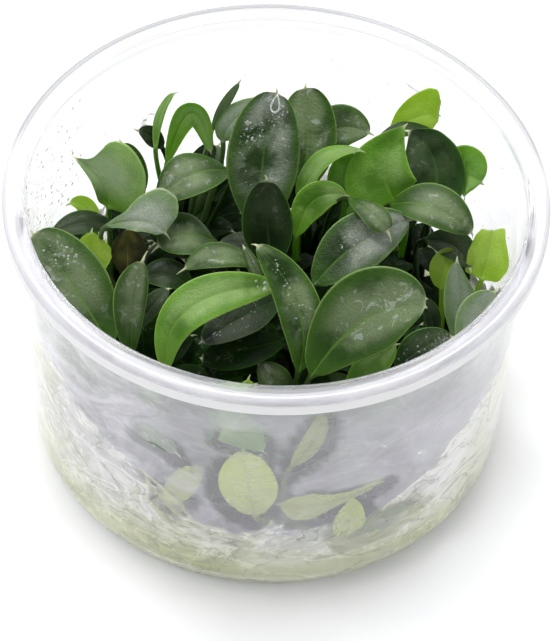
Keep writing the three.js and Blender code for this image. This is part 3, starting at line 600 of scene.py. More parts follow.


# A leaf's `shade` scales its colours: partly a tone of its own, partly painted light or painted shade for
# where it stands. A look of "low" is painted shade too.
SHOOTS = [
    {
        "name": "shoot_left", "at": (-31, 4),
        "leaves": [
            leaf("leaf_left_winged", "grey", (-32.3, 13.2, 40.3), (-33.8, 14.4, 46), (-38.5, 16.7, 50),
                 7.5, -30, 40, fold=20, peak=0.7, blunt=0.8, swell=1, uneven=0.5, side=95,
                 look="winged", shade=1.8,
                 margins={-1: [(0, 1.8, 0), (0.15, 2.2, 0), (0.6, 1.2, 0), (1, 0.3, 0)],
                          1: [(0, 2.6, -0.3), (0.1, 4.6, -1.3), (0.3, 8.6, -1.2), (0.5, 10.4, -0.8),
                              (0.65, 10.6, 0.5), (0.74, 9.6, 1.3), (0.82, 7, 0.8),
                              (0.89, 3.8, -1.2), (0.95, 1.6, -1.2), (1, 0.3, 0)]}),
            leaf("leaf_left_round", "grey", (-27.9, 14.4, 40), (-28.6, 16.3, 46.5), (-29.9, 18.3, 53),
                 6.5, 15, 50, blunt=0.5, side=12, spread=(1.1, 1.2)),
            leaf("leaf_left_cupped", "pale", (-32, 5.8, 43.4), (-26.1, 5, 46), (-21, 4.2, 44.2),
                 8.5, 0, 60, peak=0.62, blunt=0.4, swell=1.7, uneven=-0.6, tail=1, side=-19, shade=1.15,
                 margins={-1: [(0, 0.4, 0), (0.3, 1.7, 0), (0.5, 5, 0), (0.7, 7.6, 0.1),
                               (0.85, 7, 0.9), (0.95, 4.4, 1.1), (1, 0.4, 0.2)],
                          1: [(0, 0.5, 0), (0.5, 2.2, 0), (0.9, 1.4, 0), (1, 0.3, 0)]}),
            leaf("leaf_left_pointing", "dark", (-31, 10.6, 37.5), (-36, 8.9, 41), (-42.3, 5.6, 41),
                 6, 0, 85, side=57),
        ],
        "young": [
            leaf("young_a", "lime", (-34.5, 9, 37), (-36.5, 13, 40), (-39.5, 12.5, 42), 4, 0, 60),
            leaf("young_b", "lime", (-33.3, 0.6, 34.5), (-34.8, 2.8, 38), (-35.8, 4.6, 40), 5.5, 20, 40,
                 spread=(1.3, 1.5), drawn={"tip": (-34.9, 5.6, 41.4)}),
            leaf("young_c", "dark", (-28.8, 1, 32.5), (-29, 3.2, 36.5), (-28.8, 5.4, 40), 6.5, 0, 50,
                 look="withered", spread=(1, 1.15),
                 drawn={"base": (-28, 1.9, 33.4), "mid": (-28, 4.3, 38), "tip": (-28, 6.5, 41.8)}),
        ],
    },
    {
        "name": "shoot_back_left", "at": (-19, 24),
        "leaves": [
            leaf("leaf_back_arched", "bright", (-21.7, 22, 44), (-17.4, 26.8, 53.7),
                 (-13.3, 23.2, 47.2), 5, 0, 20),
            leaf("leaf_back_leaning", "pale", (-11, 27, 46), (-9.5, 28.5, 50), (-4, 31, 54), 6, -20, 45,
                 shade=1.2),
            leaf("leaf_back_broad", "grey", (-9.5, 20, 45.5), (-16.5, 15, 49), (-23, 12.5, 44.5),
                 10.5, -10, 75),
        ],
        "young": [
            leaf("young_a", "bright", (-24, 24, 46), (-23.5, 28, 51), (-21, 30.5, 55), 3, -60, 30),
            leaf("young_b", "dark", (-23, 28.5, 42), (-25, 28.5, 45), (-27.5, 28, 47), 4, 0, 60),
            leaf("young_c", "pale", (-13.5, 29, 46), (-11.5, 30.5, 52), (-8.5, 32, 57), 3.2, 60, 30),
        ],
    },
    {
        "name": "shoot_centre", "at": (-6, 3),
        "leaves": [
            leaf("leaf_centre_tall", "grey", (-2.5, 9.5, 38), (-3, 19, 50), (-1, 27, 60), 14.2, 0, 42,
                 blunt=0.45, fold=8, look="frosted"),
            leaf("leaf_centre_upright", "dark", (0, 2, 37), (-1.5, 6.5, 45), (-2, 10.5, 53), 10, 0, 38,
                 blunt=0.5, shade=0.8),
            leaf("leaf_centre_left", "grey", (-2, -1, 41), (-9.5, -1.5, 44.5), (-16.5, -3.5, 43),
                 7, 180, 80, peak=0.6, tail=1, spread=(1.2, 1.25)),
            leaf("leaf_centre_low", "grey", (-11.5, 8.5, 37.5), (-16.8, 6.3, 41.8), (-22, 4, 40.6),
                 8.5, 0, 80, tail=1, spread=(1.3, 1.2)),
            leaf("leaf_centre_shaded", "dark", (-15.5, -1.5, 35), (-20, 0, 37), (-25, -0.5, 36),
                 6.5, 0, 70),
        ],
        "young": [
            leaf("young_a", "grey", (-2, -6, 42), (-3.5, -4.5, 45), (-5.5, -1.5, 47), 2.5, 0, 50),
        ],
    },
    {
        "name": "shoot_back", "at": (7, 19),
        "leaves": [
            leaf("leaf_back_tall", "grey", (5, 21.5, 38), (5.5, 29.5, 46), (4.5, 36, 53), 11.5, 15, 42,
                 blunt=0.42, shade=1.15),
            leaf("leaf_back_right", "grey", (7.5, 31, 42), (11.5, 34, 44.5), (17.5, 32, 45.5),
                 9.5, 0, 45),
            leaf("leaf_back_curved", "bright", (4.5, 14.2, 43), (8, 18.2, 50.5), (15.5, 19.2, 53.5),
                 7.5, 180, 75),
            leaf("leaf_middle_rolled", "bright", (4, 7.6, 40.5), (7, 11.6, 47), (13, 12.1, 48.3),
                 6.5, 0, 60),
            leaf("leaf_middle_narrow", "grey", (13.6, 9.4, 50.3), (17.6, 5.2, 51.7), (20.9, 1.6, 50.5),
                 5.2, 0, 85, peak=0.65, blunt=0.4, tail=1),
        ],
        "young": [
            leaf("young_a", "lime", (13, 17.5, 41), (12.5, 20, 45), (14, 23, 49), 4, 20, 40,
                 look="bright", spread=(1.6, 1.6)),
        ],
    },
    {
        "name": "shoot_back_right", "at": (27, 19),
        "leaves": [
            leaf("leaf_right_lit", "bright", (23.5, 14.5, 44), (20.5, 17.5, 50), (23.5, 22.5, 57),
                 12.6, -20, 42, peak=0.32, blunt=1, uneven=-0.33, side=-155, spread=(1, 1.5),
                 drawn={"fold": 16}),
            leaf("leaf_right_dark", "dark", (30.3, 16.8, 43), (30, 22, 49), (24.9, 23.9, 56),
                 12, 30, 42, uneven=0.15, shade=1.5, drawn={"tip": (24.7, 23.4, 55)},
                 margins={-1: [(0, 3.4, 0), (0.1, 6.4, 0), (0.25, 8.6, 0), (0.5, 9.4, 0), (0.75, 9, 0),
                               (0.92, 6.4, 0), (1, 0.4, 0)],
                          1: [(0, 3.2, -0.8), (0.1, 5.2, -0.5), (0.22, 6, 0), (0.5, 5.2, 0),
                              (0.77, 3.6, 0), (0.92, 1.6, 0), (1, 0.3, 0)]}),
            leaf("leaf_right_edge", "bright", (34, 23.4, 42), (36.4, 22.3, 45), (39.2, 19.8, 45.6),
                 8, 0, 45, blunt=0.5, tail=0.3, spread=(1.5, 1.3), drawn={"base": (33.4, 23.8, 42)}),
            leaf("leaf_right_top", "lime", (21.5, 30.5, 47), (25.8, 31, 51), (30.3, 29.4, 53.8),
                 7, 0, 45, peak=0.72, blunt=0.25, tail=0.2,
                 margins={-1: [(0, 0.5, 0), (0.3, 2.8, 0), (0.6, 4.4, 0.2), (0.85, 5.6, 0.9),
                               (0.95, 5.2, 1.3), (1, 2.8, 0.8)],
                          1: [(0, 0.5, 0), (0.5, 2.4, 0), (0.9, 2.8, 0), (1, 1.4, 0)]}),
            leaf("leaf_right_bowed", "dark", (30, 26.7, 51.8), (23, 25.9, 52.6), (17, 23.2, 48.8),
                 6.5, 180, 70),
            leaf("leaf_right_grey", "grey", (21.5, 11.5, 47), (29, 8.5, 50.5), (37, 5, 47.5),
                 10, 20, 85, side=-105),
        ],
        "young": [],
    },
    {
        "name": "shoot_right", "at": (34, 1),
        "leaves": [
            leaf("leaf_right_under", "dark", (28.5, 7.5, 42), (34, 5.5, 43), (37.2, 1.5, 41.3), 7, 0, 80),
            leaf("leaf_right_lime", "lime", (40, 0.8, 39), (40.7, 3.3, 43), (41, 7, 46), 6.8, 0, 40,
                 blunt=0.3, tail=0.2,
                 drawn={"base": (39.6, 0.6, 39), "mid": (40.6, 3.4, 43), "fold": 18},
                 margins={-1: [(0, 2.2, 0), (0.1, 3.8, -0.2), (0.5, 4.3, 0), (0.85, 3.2, 0.3),
                               (1, 2, 0.3)],
                          1: [(0, 1.6, 0), (0.08, 3.2, -0.3), (0.3, 4.4, 0), (0.45, 4.3, 0),
                              (0.8, 2.8, 0.4), (0.96, 2.6, 1.1), (1, 1.4, 0.5)]}),
        ],
        "young": [
            leaf("young_a", "lime", (32, -0.5, 35), (32, 1, 39), (34, 3, 41), 4, 0, 40, shade=0.6,
                 spread=(1.5, 1.5),
                 drawn={"base": (32.3, 0.3, 36.2), "mid": (32.5, 2.2, 40.6), "tip": (34.4, 4.2, 42.6)}),
        ],
    },
    {
        "name": "shoot_front_right", "at": (29, -15),
        "leaves": [
            leaf("leaf_right_pale", "pale", (35.5, -14.5, 36), (35, -10.5, 44.5), (33.6, -7.3, 52.5),
                 6.5, -30, 35, shade=1.3,
                 margins={1: [(0, 0.5, 0), (0.15, 2.4, 0), (0.4, 4.4, 0), (0.62, 3.6, 0),
                              (0.85, 1.5, 0), (1, 0.3, 0)]}),
            leaf("leaf_right_wall", "pale", (36, -19, 39), (38, -15.5, 46.5), (41, -13.5, 52),
                 7, -10, 40, shade=1.35, spread=(1.2, 1), drawn={"tip": (40.4, -13.3, 51.4)}),
            leaf("leaf_front_speckled", "grey", (24, -19, 34), (28, -17, 39), (33.5, -15.5, 41),
                 7, 0, 65, look="dark", shade=1.3),
        ],
        "young": [
            leaf("young_a", "dark", (31, -13.5, 36), (30, -12.5, 42), (28.5, -11, 46), 3.5, 40, 40),
        ],
    },
    {
        "name": "shoot_middle", "at": (8, -4),
        "leaves": [
            leaf("leaf_middle_shiny", "grey", (7.5, -3.2, 39), (15.5, 2.1, 45.8), (25, 6.1, 48.8),
                 11.5, -10, 60, look="frosted", shade=1.1),
            leaf("leaf_front_dusky", "grey", (1.5, -5.5, 38), (-5.5, -12.5, 40), (-12.5, -17, 38),
                 7, 0, 70, spread=(1.2, 1.2), look="dark", shade=0.65),
            leaf("leaf_front_shaded", "dark", (3, -12, 34), (-5, -17, 36), (-12.5, -17, 33), 6.5, 0, 75,
                 spread=(1.2, 1.2), look="low"),
            leaf("leaf_front_lowest", "dark", (1.5, -11, 29), (-6.5, -17.5, 31.5), (-18, -19, 29.5),
                 5, 0, 75, look="low", shade=1.3),
        ],
        "young": [],
    },
    {
        "name": "shoot_front", "at": (8, -24),
        "leaves": [
            leaf("leaf_front_slender", "grey", (5.5, -24.5, 39), (5, -18, 50), (-3, -10.5, 58),
                 8.4, 20, 45, shade=1.2),
            leaf("leaf_front_broad", "grey", (7.5, -26.5, 40), (17, -20, 50), (27.5, -20.5, 55),
                 14, -10, 48, blunt=0.5, peak=0.55, spread=(1.24, 1), tail=0.15),
            leaf("leaf_front_under", "bright", (14.5, -24, 34), (19, -21.5, 39), (23, -19, 42), 6, 0, 60),
        ],
        "young": [],
    },
    {
        "name": "shoot_front_left", "at": (-23, -18),
        "leaves": [
            leaf("leaf_left_big", "grey", (-28.5, -23, 41), (-36.4, -14.7, 49.5), (-43.9, -8, 55.3),
                 11.8, 20, 50, blunt=0.42, uneven=0.15),
            leaf("leaf_left_second", "grey", (-25.2, -21.6, 38), (-25.1, -17, 46.5), (-23.8, -11.4, 53),
                 6.4, 30, 45, uneven=-0.3, peak=0.62, tail=1),
            leaf("leaf_front_arched", "bright", (-18.5, -26, 39), (-15, -19.5, 50), (0.5, -13, 50),
                 8.6, -30, 60, peak=0.6, blunt=0.5),
        ],
        "young": [
            leaf("young_a", "dark", (-26, -14, 36), (-22.5, -12, 41), (-19.5, -8.5, 42.5), 4, 0, 75),
        ],
    },
    {
        "name": "shoot_wall_left", "at": (-13, -31),
        "leaves": [
            leaf("leaf_wall_dark", "dark", (-22.5, -34, 38), (-19, -39, 41), (-15, -41.5, 38.5),
                 4.5, -25, 30, look="mossy", tail=1,
                 drawn={"base": (-22.9, -35, 38.5), "mid": (-19.6, -40.2, 41),
                        "tip": (-15.5, -42.6, 38.4)}),
            leaf("leaf_wall_upper", "bright", (-8, -37, 45), (-5.5, -42.3, 49.5), (-0.5, -43.7, 44),
                 7.5, -5, 35, side=20, tail=1, spread=(1.15, 1.15),
                 drawn={"base": (-8.6, -38, 45), "mid": (-5.9, -43.2, 49.2), "tip": (-0.4, -44.8, 43.6)}),
        ],
        "young": [
            leaf("young_a", "pale", (-10, -37, 29), (-13, -40.5, 27), (-16, -40.5, 21.5), 4.5, -20, 20,
                 look="washed", shade=0.75, spread=(1.2, 1.2),
                 drawn={"base": (-11, -38, 29), "mid": (-14.4, -41.4, 27), "tip": (-17.4, -41.5, 21.2)}),
        ],
    },
    {
        "name": "shoot_wall", "at": (4, -36),
        "leaves": [
            leaf("leaf_wall_oval", "lime", (-1, -43.4, 20.8), (-2.5, -43.6, 31.2), (-3.5, -43.4, 41.5),
                 11, 0, 0, peak=0.5, blunt=0.5, look="washed"),
            leaf("leaf_wall_strap", "pale", (5, -43.8, 38), (8, -43.8, 45.5), (9.5, -43.5, 54),
                 4.5, 10, 5, look="washed", shade=0.5),
            leaf("leaf_wall_level", "pale", (21, -38, 27), (11, -42.2, 25.5), (3.2, -42.8, 24.6),
                 8, 15, 5, look="washed", shade=0.85,
                 drawn={"base": (21, -39.8, 28.5), "mid": (11.2, -43.6, 26.4), "tip": (3.3, -44.2, 26)},
                 margins={-1: [(0, 0.3, 0), (0.2, 0.8, 0), (0.4, 1.6, 0), (0.65, 3.6, 0), (0.85, 3.2, 0),
                               (1, 0.3, 0)],
                          1: [(0, 0.3, 0), (0.2, 0.9, 0), (0.4, 2.2, 0), (0.6, 3.6, 0), (0.85, 2.6, 0),
                              (1, 0.3, 0)]}),
            leaf("leaf_wall_low", "lime", (14.5, -40, 12.5), (15.5, -40, 18), (16, -39, 23.5), 6, 20, 5,
                 look="washed", shade=1.1,
                 drawn={"base": (15, -41.3, 12.5), "mid": (16, -41.3, 18), "tip": (16.5, -40.3, 23.5)}),
            leaf("leaf_wall_right", "bright", (17.5, -38.5, 12.5), (21.5, -37.5, 15.5),
                 (26, -34.8, 14.5), 5, 30, 20, look="mossy", spread=(1.2, 1.2),
                 drawn={"base": (18.1, -39.8, 12.5), "mid": (22.2, -38.7, 15.8),
                        "tip": (26.9, -35.9, 15)}),
        ],
        "young": [
            leaf("young_a", "lime", (-4, -31, 33), (-3.5, -30, 38), (-3.5, -29, 42), 4.6, 0, 40),
            leaf("young_b", "pale", (11, -37.4, 33.5), (16.8, -36, 36.2), (22.5, -33, 34.5), 3.6, 30, 10),
        ],
    },
]
print("shoots:", len(SHOOTS), "grown leaves:", sum(len(s["leaves"]) for s in SHOOTS))

# %% [markdown]
# A leaf is one loft: round sections run up the stalk, open into the lens-shaped sections of the blade
# and close again in the thin tail of the tip. The midrib of the blade is a simple curve through three
# points, so the whole leaf has one path. A grid of points could be bent into the same shape by
# modifiers, but a loft keeps every section at its own width, and it closes by itself.

# %% Sections of a leaf
TOP_POINTS = (-1, -0.95, -0.84, -0.66, -0.45, -0.26, -0.12, -0.05, 0, 0.05, 0.12, 0.26, 0.45, 0.66,
              0.84, 0.95, 1)
UNDER_POINTS = tuple(v for v in reversed(TOP_POINTS) if abs(v) < 0.97 and abs(v) != 0.05)
STALK_RINGS = 12
BLADE_RINGS = 34
RING_EASE = 0.65
TAIL_RINGS = 5
BLADE_OPENS = 0.08
TWIST = 20
TWIST_FROM = 0.3
CURL = (-0.12, 0.14)
DROOP, DROOP_POWER = 0.1, 2.4
FOLD_SOFT = 0.1
SLIDE_POWER = 1.5
HOOK = (-0.5, 0.5)
RIB_FADES = (1.06, 0.6)
WAVE = 0.035
WAVES = 9
WAVE_OFFSET = 1.3
RIB_GROOVE, RIB_GROOVE_WIDTH = 0.16, 0.07
RIB_RIDGE, RIB_RIDGE_WIDTH = 0.34, 0.09
THICK_MIDDLE = 0.34
THICK_EDGE = 0.1
FOOT_SWELL = 0.25
STALK_FLAT = 0.18
TAIL_MAP = 0.06
TAIL_DROOP = 0.35
TAIL_THIN = 0.75
TAIL_FLAT = 0.7
TAIL_DROP = 0.15
THICK_EDGE = 0.1

v_top = np.array(TOP_POINTS, float)
v_under = np.array(UNDER_POINTS, float)
ring_v = np.concatenate([v_top, v_under])
ring_under = np.concatenate([np.zeros(len(v_top)), np.ones(len(v_under))])
ring_angle = np.concatenate([
    np.linspace(math.pi, 0, len(v_top)),
    np.linspace(0, -math.pi, len(v_under) + 2)[1:-1],
])


print("points in a section of a blade:", len(ring_v))


def bezier(points, t):
    """Points and unit tangents of a Bezier curve of two, three or four points."""
    points = np.array(points, float)
    t = np.asarray(t, float)
    n = len(points) - 1
    place = sum(
        math.comb(n, k) * ((1 - t) ** (n - k) * t ** k)[:, None] * points[k] for k in range(n + 1))
    slope = sum(
        math.comb(n - 1, k) * ((1 - t) ** (n - 1 - k) * t ** k)[:, None] * (points[k + 1] - points[k])
        for k in range(n)
    )
    return place, slope / np.linalg.norm(slope, axis=1)[:, None]


def face_direction(heading, rise):
    h, r = math.radians(heading), math.radians(rise)
    return np.array([math.sin(h) * math.cos(r), -math.cos(h) * math.cos(r), math.sin(r)])


def half_widths(spec, s, narrow=None):
    """Half the width along the blade: it swells to its peak and rounds off to the tip."""
    peak = spec.get("peak", BLADE_PEAK)
    blunt = spec.get("blunt", BLADE_BLUNT)
    u = np.where(s < peak, (s - peak) / peak, (s - peak) / (1 - peak))
    power = np.where(s < peak, spec.get("swell", BLADE_SWELL), blunt)
    swell = np.cos(math.pi / 2 * np.abs(u)).clip(0) ** power
    if narrow is None:
        narrow = STALK_RADIUS_TOP + (TIP_HALF_WIDTH - STALK_RADIUS_TOP) * s
    return narrow + (spec["width"] / 2 - narrow) * swell


def eased(values):
    """A row of values with its corners rounded a little."""
    padded = np.concatenate([values[:1], values, values[-1:]])
    return 0.25 * padded[:-2] + 0.5 * padded[1:-1] + 0.25 * padded[2:]


# %% One leaf
def blade_sections(spec, s, rng):
    """For each section of a blade: places across it, heights over it and how far they slide ahead."""
    half_width = half_widths(spec, s)
    fold = math.radians(spec.get("fold", BLADE_FOLD))
    uneven = 0.0 if "margins" in spec else spec.get("uneven", 0.0)
    phase = rng.uniform(0, math.tau)
    a = np.abs(ring_v)
    side = np.sign(ring_v)
    spread = np.where(side < 0, *spec.get("spread", (1, 1)))
    curl = np.where(side < 0, *rng.uniform(*CURL, 2))
    reach = half_width[:, None] * (a * spread)[None, :]
    slide = np.zeros_like(reach)
    for number, line in spec.get("margins", {}).items():
        own = side == number
        place, far, ahead = np.array(line, float).T
        reach[:, own] = eased(np.interp(s, place, far))[:, None] * a[own]
        slide[:, own] = eased(np.interp(s, place, ahead))[:, None] * a[own] ** SLIDE_POWER
    x = reach * side * (1 + uneven * side) * math.cos(fold)
    soft = np.sqrt(a ** 2 + FOLD_SOFT ** 2) - FOLD_SOFT
    ripple = WAVE * np.sin(s[:, None] * WAVES + phase + WAVE_OFFSET * side[None, :]) * a[None, :] ** 2
    bent = soft * math.sin(fold) - DROOP * a ** DROOP_POWER + curl * a ** 3
    z = half_width[:, None] * (bent + ripple)
    slim = smooth(*RIB_FADES, s)[:, None]
    groove = RIB_GROOVE * np.exp(-((ring_v / RIB_GROOVE_WIDTH) ** 2)) * slim
    ridge = RIB_RIDGE * np.exp(-((ring_v / RIB_RIDGE_WIDTH) ** 2)) * slim
    thick = THICK_EDGE + (THICK_MIDDLE - THICK_EDGE) * (1 - a ** 2)
    z = z - np.where(ring_under > 0, thick + ridge, groove)
    opened = smooth(0, BLADE_OPENS, s)[:, None]
    x = (1 - opened) * STALK_RADIUS_TOP * np.cos(ring_angle) + opened * x
    z = (1 - opened) * STALK_RADIUS_TOP * np.sin(ring_angle) + opened * z
    return x, z, opened * slide


def ellipse(centre, radius, flat, sideways, upwards):
    """A ring of points with its flatter way upwards."""
    return (centre + np.outer(radius * np.cos(ring_angle), sideways)
            + np.outer(radius * flat * np.sin(ring_angle), upwards))


def leaf_rings(spec, start, rng, blade_rings=BLADE_RINGS, stalk_rings=STALK_RINGS):
    """Rings of points from the foot of the stalk to the tail, and how far along each one is."""
    spec = {**spec, **spec.get("drawn", {})}
    base, mid, tip = (np.array(spec[key], float) for key in ("base", "mid", "tip"))
    control = 2 * mid - (base + tip) / 2
    s = np.linspace(0, 1, blade_rings)
    s = (1 - RING_EASE) * s + RING_EASE * (0.5 - 0.5 * np.cos(math.pi * s))
    centre, tangent = bezier([base, control, tip], s)
    facing = face_direction(spec["heading"], spec["rise"])
    normal = np.array([square(facing, t) for t in tangent])
    across = np.cross(tangent, normal)
    turned = np.radians(rng.uniform(-TWIST, TWIST)) * (s - TWIST_FROM)
    across, normal = (
        across * np.cos(turned)[:, None] + normal * np.sin(turned)[:, None],
        normal * np.cos(turned)[:, None] - across * np.sin(turned)[:, None])
    x, z, slide = blade_sections(spec, s, rng)
    blade = centre[:, None] + across[:, None] * x[..., None] + normal[:, None] * z[..., None]
    blade += tangent[:, None] * slide[..., None]

    distance = np.linalg.norm(base - start)
    lift = start + UP * distance * STALK_LIFT
    join = base - tangent[0] * distance * STALK_ARRIVAL
    t = np.linspace(0, 1, stalk_rings + 1)[:-1]
    stalk_centre, stalk_tangent = bezier([start, lift, join, base], t)
    stalk = np.zeros((stalk_rings, len(ring_v), 3))
    carried = normal[0]
    for i in range(stalk_rings - 1, -1, -1):
        carried = square(carried, stalk_tangent[i])
        radius = STALK_RADIUS_FOOT + (STALK_RADIUS_TOP - STALK_RADIUS_FOOT) * t[i]
        radius *= 1 + FOOT_SWELL * smooth(0.12, 0, t[i])
        flat = 1 - STALK_FLAT * smooth(0.0, 1.0, t[i])
        stalk[i] = ellipse(
            stalk_centre[i], radius, flat, np.cross(stalk_tangent[i], carried), carried)

    k = np.arange(1, TAIL_RINGS + 1) / TAIL_RINGS
    hook = rng.uniform(*HOOK)
    tail_length = spec.get("tail", TAIL_SHARE) * TAIL
    tail = np.zeros((TAIL_RINGS, len(ring_v), 3))
    for i, onward in enumerate(k * tail_length):
        tail_centre = (tip + tangent[-1] * onward - normal[-1] * TAIL_DROOP * k[i] ** 2
                       + across[-1] * (hook * k[i] ** 2))
        radius = TIP_HALF_WIDTH * (1 - TAIL_THIN * k[i])
        tail[i] = ellipse(
            tail_centre, radius, TAIL_FLAT, across[-1], normal[-1]) - normal[-1] * TAIL_DROP
    rings = np.concatenate([stalk, blade, tail])
    along = np.concatenate([np.zeros(stalk_rings), s, 1 + TAIL_MAP * k])
    return rings, along


def stalk_angles(shoot):
    """The side of the stem that each leaf leaves from: to its blade, but no two too close."""
    wanted = []
    for i, spec in enumerate(shoot["leaves"]):
        to_blade = spec["base"][0] - shoot["at"][0], spec["base"][1] - shoot["at"][1]
        angle = math.degrees(math.atan2(to_blade[1], to_blade[0]))
        wanted.append([spec.get("side", angle), i])
    wanted.sort()
    count = len(wanted)
    for _ in range(STALK_SPREAD_ROUNDS if count > 1 else 0):
        for k in range(count):
            following = (k + 1) % count
            turn = 360 if following == 0 else 0
            short = STALK_SPREAD - (wanted[following][0] + turn - wanted[k][0])
            if short > 0:
                wanted[k][0] -= short / 2
                wanted[following][0] += short / 2
    angles = [0.0] * count
    for angle, i in wanted:
        angles[i] = angle
    return angles


# %% Make the leaves
def blade_mesh(name, parts):
    """One mesh of one or more lofts, each a (rings, along, material number, shade, seed)."""
    verts, faces, maps, looks, slots = [], [], [], [], []
    total = 0
    for rings, along, slot, shade, seed in parts:
        count, width = rings.shape[:2]
        own_faces = ring_faces(count, width, total)
        verts.append(rings.reshape(-1, 3))
        faces.extend(own_faces)
        maps.append(np.stack([np.tile(0.5 + 0.5 * ring_v, count), np.repeat(along, width)], axis=1))
        looks.append(np.tile([shade, seed], (count * width, 1)))
        slots.extend([slot] * len(own_faces))
        total += count * width
    mesh = mesh_from(name, np.concatenate(verts), faces)
    write_maps(mesh, {BLADE_MAP: np.concatenate(maps), LOOK_MAP: np.concatenate(looks)})
    mesh.polygons.foreach_set("material_index", slots)
    mesh.update()
    return mesh


def grown_start(shoot, angle):
    """Where the stalk of a grown leaf starts: on a ring close around the stem."""
    ring = STEM_RADIUS + GAP + STALK_RADIUS_FOOT
    turn = math.radians(angle)
    return np.array([shoot["at"][0] + ring * math.cos(turn), shoot["at"][1] + ring * math.sin(turn),
                     JELLY_TOP + STALK_FOOT])


def young_start(shoot, spec):
    """Where the stalk of a young leaf starts: inside the stem, towards its blade."""
    foot = np.array([shoot["at"][0], shoot["at"][1], JELLY_TOP + STALK_FOOT], float)
    to_blade = np.array([spec["base"][0] - foot[0], spec["base"][1] - foot[1], 0.0])
    return foot + unit(to_blade) * STEM_RADIUS * YOUNG_START_SHARE


random_leaf = np.random.default_rng(7)
BLADES = {}
for shoot in SHOOTS:
    for angle, spec in zip(stalk_angles(shoot), shoot["leaves"]):
        rings, along = leaf_rings(spec, grown_start(shoot, angle), random_leaf)
        upper = rings[STALK_RINGS:STALK_RINGS + BLADE_RINGS, :len(TOP_POINTS)]
        BLADES[spec["name"]] = upper, face_direction(spec["heading"], spec["rise"])
        shade, seed = spec.get("shade", 1.0), random_leaf.uniform(0, 1)
        mesh = blade_mesh(spec["name"], [(rings, along, 0, shade, seed)])
        piece = add_object(spec["name"] + "_blade", mesh, [LEAF_LOOKS[spec.get("look", spec["tone"])]])
        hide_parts(spec["name"])
        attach(piece, "root")
print("grown leaves made:", sum(len(s["leaves"]) for s in SHOOTS))

# %% [markdown]
# Each shoot is a short, pale, knobbly stem in the jelly, with its young leaves still joined to it. The
# stem is a turned form with rings where old leaves have dropped.

# %% Stem material
def tissue_material(name, scale, detail, dark, pale, low, high, roughness, relief):
    """Plant skin: a mottle of two colours, with the same mottle as a fine relief."""
    material, tree, shader, _ = new_material(name)
    noise = noise_of(tree, scale, detail)
    set_inputs(tree, shader, {
        "Base Color": mottled(tree, noise, dark, pale, low, high),
        "Roughness": roughness,
        "Normal": bumped(tree, noise, relief, 0.0002),
    })
    return material


STEM_LOOK = tissue_material("stem", scale=700.0, detail=4.0, dark=(0.12, 0.13, 0.04),
                            pale=(0.3, 0.36, 0.13), low=0.35, high=0.65, roughness=0.5, relief=0.4)
print("stem material:", STEM_LOOK.name)

# %% Form of a stem
STEM_DEPTH = 3.2
STEM_RISE = 3.4
STEM_RINGS = 22
STEM_KNOB, STEM_KNOBS = 0.06, 34
STEM_FOOT = 0.8


def stem_rings(shoot):
    """Rings of a knobbly stem, from its foot in the jelly to its rounded head."""
    t = np.linspace(0, 1, STEM_RINGS)
    height = JELLY_TOP - STEM_DEPTH + (STEM_DEPTH + STEM_RISE) * t
    bulge = 1 + STEM_KNOB * np.sin(t * STEM_KNOBS)
    radius = STEM_RADIUS * (STEM_FOOT + (1 - STEM_FOOT) * smooth(0, 0.45, t)) * bulge
    radius = radius * np.sqrt((1 - smooth(0.6, 1.0, t) * 0.995).clip(0.0001))
    rings = np.zeros((len(t), len(ring_v), 3))
    rings[..., 0] = shoot["at"][0] + radius[:, None] * np.cos(ring_angle)
    rings[..., 1] = shoot["at"][1] - radius[:, None] * np.sin(ring_angle)
    rings[..., 2] = height[:, None]
    return rings, np.zeros(len(t))


print("a stem stands", STEM_RISE, "mm out of the jelly and", STEM_DEPTH, "mm in it")

# %% [markdown]
# Under the grown leaves the cup is packed with smaller ones, so that hardly any light gets down
# between them. They follow the same rule as in the plain model: each leans out from its stem at
# random, and is kept only where it stays inside the cup and clear of all that is there already. The
# random numbers come from a plain rule that the plain model follows too, so both get the same leaves.

# %% Undergrowth rule
UNDER_SEED = 8
UNDER_COUNT = 4
UNDER_TRIES = 300
UNDER_LEAN = (35, 85)
UNDER_OUT = (2.5, 8)
UNDER_HEIGHT = (14, 26)
UNDER_LENGTH = (11, 17)
UNDER_ARCH = (0.05, 0.16)
UNDER_WIDTH = (6.5, 9.5)
UNDER_FOLD = 6
UNDER_TONES = ("dark", "dark", "dark", "grey", "bright")
UNDER_REACH = 43.2
UNDER_CLEAR = 1.9
STALK_FEET = 3
SPREAD_ALONG = np.arange(11) / 10
SPREAD_STALK = np.arange(1, 10) / 10
SPREAD_ACROSS = np.array((-1, -0.5, 0, 0.5, 1))
DRAW_FACTOR = 16807
DRAW_LIMIT = 2147483647


def draw_from(seed):
    """A drawer of even random numbers that any language repeats exactly."""
    state = [seed]

    def draw(low, high):
        state[0] = state[0] * DRAW_FACTOR % DRAW_LIMIT
        return low + (high - low) * state[0] / DRAW_LIMIT

    return draw


def leaning(base, out, lean, length):
    """The tip of a leaf that leans outwards, and the direction that its upper side faces."""
    tip = base + length * (out * math.sin(lean) + UP * math.cos(lean))
    return tip, UP * math.sin(lean) - out * math.cos(lean)


def heading_and_rise(facing):
    """A direction as a heading and a rise, in degrees."""
    return math.degrees(math.atan2(facing[0], -facing[1])), math.degrees(math.asin(facing[2]))


def under_leaf(shoot, draw):
    """A small leaf that leans out from its shoot to any side."""
    turn = draw(0, math.tau)
    lean = math.radians(draw(*UNDER_LEAN))
    out = np.array([math.cos(turn), math.sin(turn), 0.0])
    base = np.array([shoot["at"][0], shoot["at"][1], 0.0]) + out * draw(*UNDER_OUT)
    base[2] = draw(*UNDER_HEIGHT)
    length = draw(*UNDER_LENGTH)
    tip, facing = leaning(base, out, lean, length)
    mid = (base + tip) / 2 + facing * length * draw(*UNDER_ARCH)
    width = draw(*UNDER_WIDTH)
    tone = UNDER_TONES[int(draw(0, len(UNDER_TONES)))]
    return leaf("low", tone, base, mid, tip, width, *heading_and_rise(facing), fold=UNDER_FOLD)


